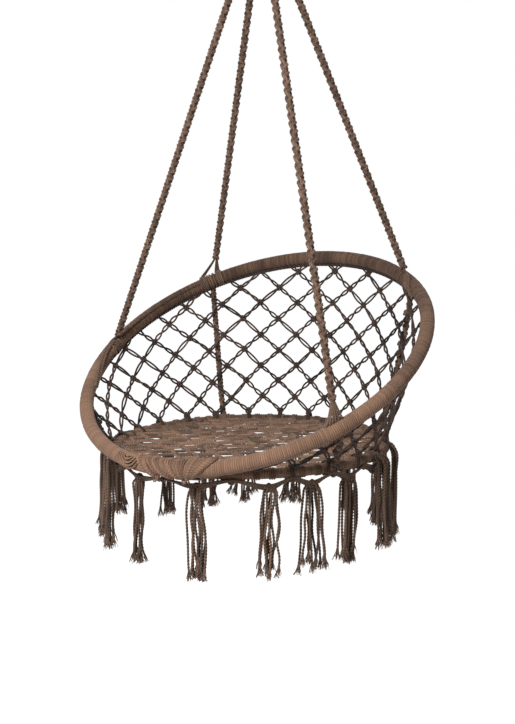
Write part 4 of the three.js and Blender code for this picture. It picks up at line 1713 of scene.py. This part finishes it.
@dataclass
class Ropes:
    """The braided ropes, their ties on the hoops, and the head on the hanging ring."""

    chair: Chair
    finishes: Finishes
    nodes: dict[str, bpy.types.Object]
    strand: Cord = Cord(3.9 * MM, 9, 3, 27 * MM, 0.12)
    strand_tones: tuple[float, ...] = (0.35, 0.6, 0.45, 0.75)
    pitch: float = 38 * MM
    core: float = 4.2 * MM
    swing: float = 2.2 * MM
    step: float = 1.8 * MM
    top_depth: float = 12 * MM
    top_overlap: float = 6 * MM
    opened_overlap: float = 8 * MM
    opened_share: float = 0.15
    opened_lift_share: float = 0.8
    opened_tone: float = 0.35
    opened_tone_step: float = 0.07
    opened_places: int = 26
    opened_steps: int = 90
    fan_share: float = 0.1
    run_cord_lift: float = 2.6 * MM
    run_pitch: float = 24 * MM
    run_width: float = 4.2 * MM
    run_depth: float = 1.7 * MM
    run_places: int = 160
    run_tone: float = 0.55
    lower_strand: Cord = Cord(3.5 * MM, 9, 3, 25 * MM, 0.12)
    lower_tones: tuple[float, ...] = (0.2, 0.45, 0.3, 0.6)
    lower_pitch_share: float = 0.9
    lower_size_share: float = 0.88
    insets: tuple[Pair, ...] = ((0.0, 4 * MM), (0.2, 13 * MM), (0.8, 13 * MM), (1.0, 4 * MM))
    net_knot: Knot = Knot(Cord(2.4 * MM, 6, 2, 10 * MM), 2.1 * MM, 2.4 * MM, 1.7)
    net_knot_pitch: float = 70 * MM
    net_knot_height: float = 7 * MM
    net_knot_tone: float = 0.5
    facing_height: float = 0.1
    tie_cord: Cord = Cord(2.5 * MM, 7, 2, 12 * MM, 0.25)
    tie_first_seed: int = 200
    tie_cords: int = 8
    tie_reach: float = 20 * MM
    tie_wander: float = 1.0 * MM
    tie_turn: float = 5.0
    tie_lift_share: float = 0.35
    tie_places: int = 30
    tie_tones: Pair = (0.2, 0.7)
    seat_tie_turns: int = 6
    seat_tie_width: float = 32 * MM
    seat_tie_steps: int = 18
    seat_tie_lift_share: float = 0.8
    seat_tie_tone: float = 0.4
    bundle: Cord = Cord(2.9 * MM, 8, 3, 20 * MM, 0.2)
    bundle_cords: int = 8
    bundle_gap: float = 0.6 * MM
    bundle_pitch: float = 4.1 * MM
    bundle_splay: float = 2.6 * MM
    bundle_width_shares: tuple[float, ...] = (0.85, 0.75, 0.8)
    bundle_depths: tuple[float, ...] = (8.5 * MM, 8 * MM, 11 * MM)
    bundle_steps: int = 170
    bundle_tones: Pair = (0.35, 0.65)
    mouth_share: float = 0.9
    mouth_gap: float = 2 * MM
    mouth_drop: float = 6 * MM
    winding: Cord = Cord(2.7 * MM, 8, 2, 13 * MM, 0.2)
    collar_pitch_share: float = 1.01
    collar_steps: int = 28
    collar_width: float = 20 * MM
    collar_depth: float = 17 * MM

    def top(self, place: RopePlace) -> Array:
        """The upper end of a rope's axis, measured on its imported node."""
        points = node_points(self.nodes[f"rope_{place.name}"])
        return points[points[:, 2] > points[:, 2].max() - self.top_depth].mean(0)

    def make_upper(self, place: RopePlace) -> None:
        """Makes one rope from the head down to where it opens, and its cords over the back hoop.

        Args:
            place: The rope's place.
        """
        hoop = self.chair.back
        angle = math.radians(place.hoop)
        top, low = self.top(place), hoop.point(angle)
        way = unit(top - low)
        foot = low + way * (hoop.section + place.open_length)
        steps = int(np.linalg.norm(top - foot) / self.step)
        axis = even(np.stack([top + way * self.top_overlap, foot]), steps)
        mesh = CordMesh()
        strands = round_braid(axis, self.pitch, self.core, self.swing)
        mesh.lay(strands, self.strand, tones=np.array(self.strand_tones))
        share = np.linspace(0, 1, self.opened_places)
        turn = np.radians(place.turn_from + (place.turn_to - place.turn_from) * share)
        lift = self.tie_cord.radius * self.opened_lift_share
        for index, spread in enumerate(place.spreads):
            slide = spread * MM * (1 + self.fan_share * share) / hoop.radius
            round_hoop = hoop.around(angle + slide, turn, lift)
            start = foot + hoop.along(angle) * spread * self.opened_share * MM
            line = spline(np.vstack([start + way * self.opened_overlap, start, round_hoop]), pieces=4)
            tone = self.opened_tone + self.opened_tone_step * index
            mesh.lay(even(line, self.opened_steps), self.tie_cord, tones=tone)
        piece = mesh.build(f"rope_{place.name}_braid", self.finishes.rope)
        place_piece(piece, Body.FRAME, f"rope_{place.name}")

    def make_run(self, place: RopePlace) -> None:
        """Makes the flat braid that goes on along the back hoop's face, where a rope has one.

        Args:
            place: The rope's place.
        """
        if place.run_to is None:
            return
        back = self.chair.back
        share = np.linspace(0, 1, self.run_places)
        angle = np.radians(place.hoop + (place.run_to - place.hoop) * share)
        turn = np.radians(place.run_turns[0] + (place.run_turns[1] - place.run_turns[0]) * ease(share))
        axis = back.around(angle, turn, self.run_cord_lift)
        facing = back.away(angle, turn)
        mesh = CordMesh()
        strands = flat_braid(axis, facing, self.run_pitch, self.run_width, self.run_depth)
        mesh.lay(strands, self.tie_cord, tones=self.run_tone)
        piece = mesh.build(f"hoop_braid_{place.name}", self.finishes.rope)
        place_piece(piece, Body.FRAME)

    def lower_axis(self, place: RopePlace) -> Array:
        """The axis of a rope's lower stretch, just inside the net.

        Args:
            place: The rope's place.

        Returns:
            Its points, from the back hoop down.
        """
        points = []
        for share, inset in self.insets:
            angle = math.radians(place.lower_start + share * (place.seat - place.lower_start))
            top = float(self.chair.rise(angle)) + self.chair.back.section
            height = top - share * (self.chair.seat.section + top)
            points.append(self.chair.net_point(angle, height) - inset * self.chair.net_normal(angle, height))
        return spline(points)

    def make_lower(self, place: RopePlace) -> None:
        """Makes one rope from the back hoop down to the seat hoop, with net knots on it.

        Args:
            place: The rope's place.
        """
        line = self.lower_axis(place)
        line = even(line, int(reaches(line)[-1] / self.step))
        mesh = CordMesh()
        core, swing = self.core * self.lower_size_share, self.swing * self.lower_size_share
        strands = round_braid(line, self.pitch * self.lower_pitch_share, core, swing)
        mesh.lay(strands, self.lower_strand, tones=np.array(self.lower_tones))
        count = max(2, int(reaches(line)[-1] / self.net_knot_pitch))
        tied = line[(np.arange(1, count) / count * len(line)).astype(int)]
        facing = self.chair.net_normal(math.radians(place.seat), self.facing_height)
        facing = np.broadcast_to(facing, tied.shape)
        middles = tied + facing * self.net_knot_height
        self.net_knot.lay(mesh, middles, facing, self.net_knot.row(len(tied)), self.net_knot_tone)
        piece = mesh.build(f"lower_rope_{place.name}_braid", self.finishes.rope)
        start = self.chair.back.point(math.radians(place.lower_start))
        end = self.chair.seat.point(math.radians(place.seat))
        blend_piece(piece, end, f"lower_rope_{place.name}")

    def make_ties(self, place: RopePlace) -> None:
        """Makes the turns of cord that hold a rope to both hoops.

        Args:
            place: The rope's place.
        """
        draw = np.random.default_rng(int(place.hoop) + self.tie_first_seed)
        hoop = self.chair.back
        share = np.linspace(0, 1, self.tie_places)
        slides = np.linspace(-self.tie_reach, self.tie_reach, self.tie_cords)
        slides = slides + draw.normal(0, self.tie_wander, self.tie_cords)
        turn = place.turn_from + self.tie_turn + (place.turn_to - place.turn_from) * share
        angles = math.radians(place.hoop) + slides[:, None] / hoop.radius * (1 + self.fan_share * share)
        paths = hoop.around(angles, np.radians(turn), self.tie_cord.radius * self.tie_lift_share)
        mesh = CordMesh()
        mesh.lay(paths, self.tie_cord, tones=draw.uniform(*self.tie_tones, self.tie_cords))
        piece = mesh.build(f"back_tie_{place.name}", self.finishes.lashing)
        place_piece(piece, Body.FRAME, f"back_sleeve_{place.name}")
        seat = self.chair.seat
        share = np.linspace(0, 1, self.seat_tie_turns * self.seat_tie_steps)
        angles = math.radians(place.seat) + (share - 0.5) * self.seat_tie_width / seat.radius
        lift = self.tie_cord.radius * self.seat_tie_lift_share
        path = seat.around(angles, TURN * self.seat_tie_turns * share, lift)
        mesh = CordMesh()
        mesh.lay(path, self.tie_cord, tones=self.seat_tie_tone)
        piece = mesh.build(f"seat_tie_{place.name}", self.finishes.lashing)
        place_piece(piece, Body.SEAT, f"seat_sleeve_{place.name}")

    def make_head(self) -> None:
        """Makes the bundle of cords folded over the ring's wire and the winding round it."""
        head_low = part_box("rope_head")[0]
        ring_low, ring_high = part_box("hanging_ring")
        low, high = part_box("head_collar")
        levels = (high.z, (low.z + high.z) / 2, low.z)
        wire = (ring_high.y - ring_low.y) / 2
        over = ring_low.z + wire
        reach = wire + self.bundle.radius + self.bundle_gap
        mouths = {place.name: self.top(place) for place in ROPE_PLACES}
        half = self.bundle_cords // 2
        paths = []
        for index in range(self.bundle_cords):
            across = (index - (self.bundle_cords - 1) / 2) * self.bundle_pitch
            splay = (index % half - (half - 1) / 2) * self.bundle_splay
            flanks = []
            for end, way in (("rear", 1), ("front", -1)):
                mouth = mouths[f"{end}_{'left' if index < half else 'right'}"] * self.mouth_share
                flank = [(across, way * reach, over)]
                for level, width, depth in zip(levels, self.bundle_width_shares, self.bundle_depths):
                    flank.append((across * width, way * depth, level))
                aside = way * self.mouth_gap
                flank.append((mouth[0] + splay, mouth[1] + aside, head_low.z - self.mouth_drop))
                flanks.append(flank)
            points = flanks[0][::-1] + [(across, 0.0, over + reach)] + flanks[1]
            paths.append(even(spline(np.array(points)), self.bundle_steps))
        mesh = CordMesh()
        tones = np.linspace(*self.bundle_tones, self.bundle_cords)
        mesh.lay(np.stack(paths), self.bundle, tones=tones)
        place_piece(mesh.build("rope_head_bundle", self.finishes.rope), Body.FRAME, "rope_head")
        self.make_collar(low, high)

    def make_collar(self, low: Vector, high: Vector) -> None:
        """Makes the winding round the head.

        Args:
            low: The lowest corner of its box.
            high: The highest corner.
        """
        height = high.z - low.z - 2 * self.winding.radius
        turns = int(height / (2 * self.collar_pitch_share * self.winding.radius))
        share = np.linspace(0, 1, turns * self.collar_steps)
        angle = TURN * turns * share
        across, forward = self.collar_width * np.cos(angle), self.collar_depth * np.sin(angle)
        rise = low.z + self.winding.radius + share * height
        mesh = CordMesh()
        mesh.lay(np.stack([across, forward, rise], axis=1), self.winding)
        place_piece(mesh.build("head_winding", self.finishes.lashing), Body.FRAME, "head_collar")

    def make(self) -> None:
        """Makes all ropes, ties and the head."""
        self.make_head()
        for place in ROPE_PLACES:
            self.make_upper(place)
            self.make_run(place)
            self.make_lower(place)
            self.make_ties(place)


@dataclass(frozen=True)
class Petal:
    """A bundle of cords laid over both hoops, in degrees from the front towards the left.

    It is wide on top of the hoops and drawn together under them.
    """

    top: float
    foot: float
    top_width: float = 6.2
    foot_width: float = 1.4
    cords: int = 7


@dataclass
class FrontLashings:
    """The bundles of cord that bind both hoops together at the front."""

    chair: Chair
    finish: bpy.types.Material
    lashings: tuple[tuple[Petal, ...], ...] = (
        (Petal(-20.5, -13.5, 5.4), Petal(-15, -12.3, 5.4)),
        (Petal(-9.2, -10.8), Petal(-3.2, -8.6)),
        (Petal(2.6, -5.0), Petal(8.0, 1.5, 5.0)),
        (),
    )
    angles: tuple[float, ...] = (164, 175, -174, -163)
    cord: Cord = Cord(2.5 * MM, 7, 2, 12 * MM, 0.28)
    cord_lift_share: float = 0.85
    steps: int = 70
    first_seed: int = 70
    tones: Pair = (0.35, 0.9)
    turns: Pair = (-100.0, 165.0)
    petal_places: int = 60
    petal_bulge: float = 3.2 * MM
    opened_share: float = 0.62
    closing_start_share: float = 0.7
    closing_share: float = 0.25
    whorl_middle: float = 14.0
    whorl_loops: int = 5
    whorl_step: float = 1.25
    whorl_heart_share: float = 0.6
    whorl_places: int = 40
    whorl_ends: Pair = (-1.5, -2.5)
    whorl_turns: Pair = (160.0, 150.0)
    whorl_turn: float = 32.0
    whorl_fall: float = 15.0
    whorl_rise: float = 0.9 * MM
    knots: tuple[tuple[int, float], ...] = ((2, -11.5), (4, 1.0))
    knot: Knot = Knot(Cord(2.5 * MM, 7, 2, 12 * MM, 0.28), 3.0 * MM, 4.2 * MM)
    knot_turn: float = -85.0
    knot_lift: float = 5 * MM
    knot_twist: float = 0.6
    knot_tone: float = 0.6

    def surface(self, degrees: Places, turn: Places, lift: Places) -> Array:
        """Points over both hoops, from degrees left of the front and the way that they face."""
        return self.chair.outline(np.radians(180 + np.asarray(degrees)), np.radians(turn), lift)

    def petal_paths(self, petal: Petal) -> Array:
        """The lines of one bundle's cords, from under the hoops over the top to the inside.

        Args:
            petal: The bundle.

        Returns:
            The lines.
        """
        share = np.linspace(0, 1, self.petal_places)[None]
        rank = np.linspace(-1, 1, petal.cords)[:, None]
        opened = ease(share / self.opened_share)
        closed = ease((share - self.closing_start_share) / (1 - self.closing_start_share))
        width = petal.foot_width + (petal.top_width - petal.foot_width) * opened
        width = width * (1 - self.closing_share * closed)
        degrees = petal.foot + (petal.top - petal.foot) * opened + rank * width / 2
        bulge = (1 - rank**2) * np.sin(math.pi * share) * self.petal_bulge
        turn = self.turns[0] + (self.turns[1] - self.turns[0]) * share
        lines = self.surface(degrees, turn, self.cord.radius * self.cord_lift_share + bulge)
        return np.stack([even(line, self.steps) for line in lines])

    def whorl_paths(self) -> Array:
        """The lines of the nested loops at the left, open towards the seat.

        Returns:
            The lines.
        """
        loop = np.linspace(0, math.pi, self.whorl_places)
        first, last = self.whorl_ends
        lines = []
        for number in range(self.whorl_loops):
            reach = self.whorl_step * (number + self.whorl_heart_share)
            degrees = self.whorl_middle + reach * np.cos(loop)
            degrees = np.concatenate([degrees[:1] + first, degrees, degrees[-1:] + last])
            round_section = self.whorl_turn - self.whorl_fall * reach * np.sin(loop)
            turn = np.concatenate([self.whorl_turns[:1], round_section, self.whorl_turns[1:]])
            arch = np.sin(np.linspace(0, math.pi, len(turn)))
            raised = (self.whorl_loops - number) * self.whorl_rise * arch
            line = self.surface(degrees, turn, self.cord.radius * self.cord_lift_share + raised)
            lines.append(even(spline(line, pieces=3), self.steps))
        return np.stack(lines)

    def make(self) -> None:
        """Makes every lashing, and the knots under them."""
        seat = self.chair.seat
        knots = dict(self.knots)
        for number, (petals, angle) in enumerate(zip(self.lashings, self.angles), start=1):
            draw = np.random.default_rng(self.first_seed + number)
            bundles = [self.petal_paths(petal) for petal in petals] or [self.whorl_paths()]
            paths = np.concatenate(bundles)
            mesh = CordMesh()
            mesh.lay(paths, self.cord, tones=draw.uniform(*self.tones, len(paths)))
            if number in knots:
                place, turn, lift = np.array([[knots[number]], [self.knot_turn], [self.knot_lift]])
                centre = self.surface(place, turn, lift)
                facing = unit(centre - seat.centre)
                self.knot.lay(mesh, centre, facing, np.array([self.knot_twist]), self.knot_tone)
            piece = mesh.build(f"front_lashing_{number}_cords", self.finish)
            radians = math.radians(angle)
            top = self.chair.outline(radians, math.pi / 2, 0.0)
            blend_piece(piece, seat.point(radians), f"front_lashing_{number}")


@dataclass
class HangingRing:
    """The welded steel ring at the top."""

    finish: bpy.types.Material
    weld_angle: float = math.radians(28)
    weld_swell: float = 0.16
    weld_width: float = 2.2 * MM
    steps_round: int = 96
    steps_of_wire: int = 24

    def make(self) -> None:
        """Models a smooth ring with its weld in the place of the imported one."""
        low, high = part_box("hanging_ring")
        wire = (high.y - low.y) / 2
        loop = (high.z - low.z) / 2 - wire
        centre = (low + high) / 2
        bpy.ops.object.select_all(action="DESELECT")
        bpy.ops.mesh.primitive_torus_add(
            major_segments=self.steps_round,
            minor_segments=self.steps_of_wire,
            major_radius=loop,
            minor_radius=wire,
            location=centre,
            rotation=(math.pi / 2, 0, 0),
        )
        ring = bpy.context.object
        ring.name = "hanging_ring_welded"
        bpy.ops.object.transform_apply(location=True, rotation=True, scale=True)
        for vertex in ring.data.vertices:
            offset = vertex.co - centre
            around = math.atan2(offset.x, offset.z)
            gap = (around - self.weld_angle) * loop / self.weld_width
            middle = centre + Vector((math.sin(around), 0, math.cos(around))) * loop
            vertex.co = middle + (vertex.co - middle) * (1 + self.weld_swell * math.exp(-gap * gap))
        bpy.ops.object.shade_smooth()
        ring.data.materials.clear()
        ring.data.materials.append(self.finish)
        LOG.info("%s: %d faces", ring.name, len(ring.data.polygons))
        place_piece(ring, Body.HANGER, "hanging_ring")


@dataclass(frozen=True)
class Lamp:
    """A soft square lamp that faces the chair, placed as the camera sees it from the seat's centre."""

    name: str
    leftward: float
    forward: float
    upward: float
    size: float
    watts: float


@dataclass
class Studio:
    """The camera at the photograph's viewing angle, plain light and a pale floor."""

    chair: Chair
    lamps: tuple[Lamp, ...] = (
        Lamp("key", 1.1, 1.9, 1.4, 0.9, 74),
        Lamp("side", -1.8, 1.6, 1.6, 2.0, 14),
        Lamp("rear", -0.6, -2.2, 0.5, 1.6, 42),
    )
    azimuth: float = math.radians(33.1)
    elevation: float = math.radians(4.54)
    distance: float = 2.6
    shift_right: float = 13.3 * MM
    shift_up: float = 185.11 * MM
    roll: float = math.radians(1.12)
    tilt: float = math.radians(-0.32)
    lens: float = 56.75
    sensor: float = 36.0
    floor_drop: float = 1.0
    floor_size: float = 60.0
    floor_grey: float = 0.8
    floor_glow: float = 0.9
    fill: float = 0.17

    def make_camera(self) -> None:
        """Makes the camera, turned with the chair's own pitch about the seat's centre."""
        sin_a, cos_a = math.sin(self.azimuth), math.cos(self.azimuth)
        sin_e, cos_e = math.sin(self.elevation), math.cos(self.elevation)
        back = Vector((sin_a * cos_e, -cos_a * cos_e, sin_e))
        right = Vector((cos_a, sin_a, 0))
        up = back.cross(right)
        eye = right * self.shift_right + up * self.shift_up + back * self.distance
        rolled_right = right * math.cos(self.roll) + up * math.sin(self.roll)
        rolled_up = up * math.cos(self.roll) - right * math.sin(self.roll)
        turn = Matrix.Rotation(self.tilt, 3, "X")
        axes = Matrix((turn @ rolled_right, turn @ rolled_up, turn @ back)).transposed()
        data = bpy.data.cameras.new("camera")
        data.sensor_width = self.sensor
        data.lens = self.lens
        camera = bpy.data.objects.new("camera", data)
        place = Vector(self.chair.seat.centre) + turn @ eye
        camera.matrix_world = Matrix.Translation(place) @ axes.to_4x4()
        bpy.context.scene.collection.objects.link(camera)
        bpy.context.scene.camera = camera

    def make_light(self, lamp: Lamp) -> None:
        """Makes one lamp.

        Args:
            lamp: What it is like.
        """
        sin_a, cos_a = math.sin(self.azimuth), math.cos(self.azimuth)
        across = -cos_a * lamp.leftward + sin_a * lamp.forward
        place = Vector((across, -sin_a * lamp.leftward - cos_a * lamp.forward, lamp.upward))
        data = bpy.data.lights.new(lamp.name, "AREA")
        data.size = lamp.size
        data.energy = lamp.watts
        light = bpy.data.objects.new(lamp.name, data)
        light.location = Vector(self.chair.seat.centre) + place
        light.rotation_euler = (-place).to_track_quat("-Z", "Y").to_euler()
        bpy.context.scene.collection.objects.link(light)

    def make_floor(self) -> None:
        """Makes the pale floor under the chair, lit up where the camera or a reflection sees it."""
        height = self.chair.seat.centre[2] - self.floor_drop
        bpy.ops.object.select_all(action="DESELECT")
        bpy.ops.mesh.primitive_plane_add(size=self.floor_size, location=(0, 0, height))
        floor = bpy.context.object
        floor.name = "floor"
        material, board = new_material("pale_floor")
        grey = (self.floor_grey, self.floor_grey, self.floor_grey, 1)
        diffuse = board.node("ShaderNodeBsdfDiffuse", {}, {"Color": grey})
        glow = board.node("ShaderNodeEmission", {}, {"Strength": board.seen() * self.floor_glow})
        board.close(board.node("ShaderNodeAddShader", {}, {0: diffuse, 1: glow}))
        floor.data.materials.append(material)

    def make_world(self) -> None:
        """Makes the even light all round, white where the camera or a reflection sees it."""
        world = bpy.data.worlds.new("studio")
        bpy.context.scene.world = world
        world.use_nodes = True
        board = NodeBoard(world.node_tree)
        values = {"Color": (1, 1, 1, 1), "Strength": board.seen() * (1 - self.fill) + self.fill}
        board.close(board.node("ShaderNodeBackground", {}, values), "ShaderNodeOutputWorld")

    def make(self) -> None:
        """Makes the camera, lamps, floor and world."""
        self.make_camera()
        for lamp in self.lamps:
            self.make_light(lamp)
        self.make_floor()
        self.make_world()
        bpy.context.scene.view_settings.view_transform = "Standard"


def dress_tubes(nodes: dict[str, bpy.types.Object], finish: bpy.types.Material) -> None:
    """Gives the hoops' hidden tubes their painted finish.

    Args:
        nodes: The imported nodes.
        finish: The finish.
    """
    for name in ("back_hoop_tube", "seat_hoop_tube"):
        nodes[name].data.materials.clear()
        nodes[name].data.materials.append(finish)
        LOG.info("%s: painted", name)


def main() -> None:
    """Builds the chair and its studio, in order."""
    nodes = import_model()["nodes"]
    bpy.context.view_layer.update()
    chair = Chair(Hoop.from_node(nodes["back_hoop_wrap"]), Hoop.from_node(nodes["seat_hoop_wrap"]))
    Studio(chair).make()
    finishes = Finishes()
    Fringe(chair, finishes.fringe).make()
    Ropes(chair, finishes, nodes).make()
    Hoops(chair, finishes).make()
    BackNet(chair, finishes.net).make()
    SeatNet(chair, finishes).make()
    FrontLashings(chair, finishes.lashing).make()
    HangingRing(finishes.ring).make()
    dress_tubes(nodes, finishes.tube)


if __name__ == "__main__":
    logging.basicConfig(level=logging.INFO, format="%(name)s: %(message)s")
    main()
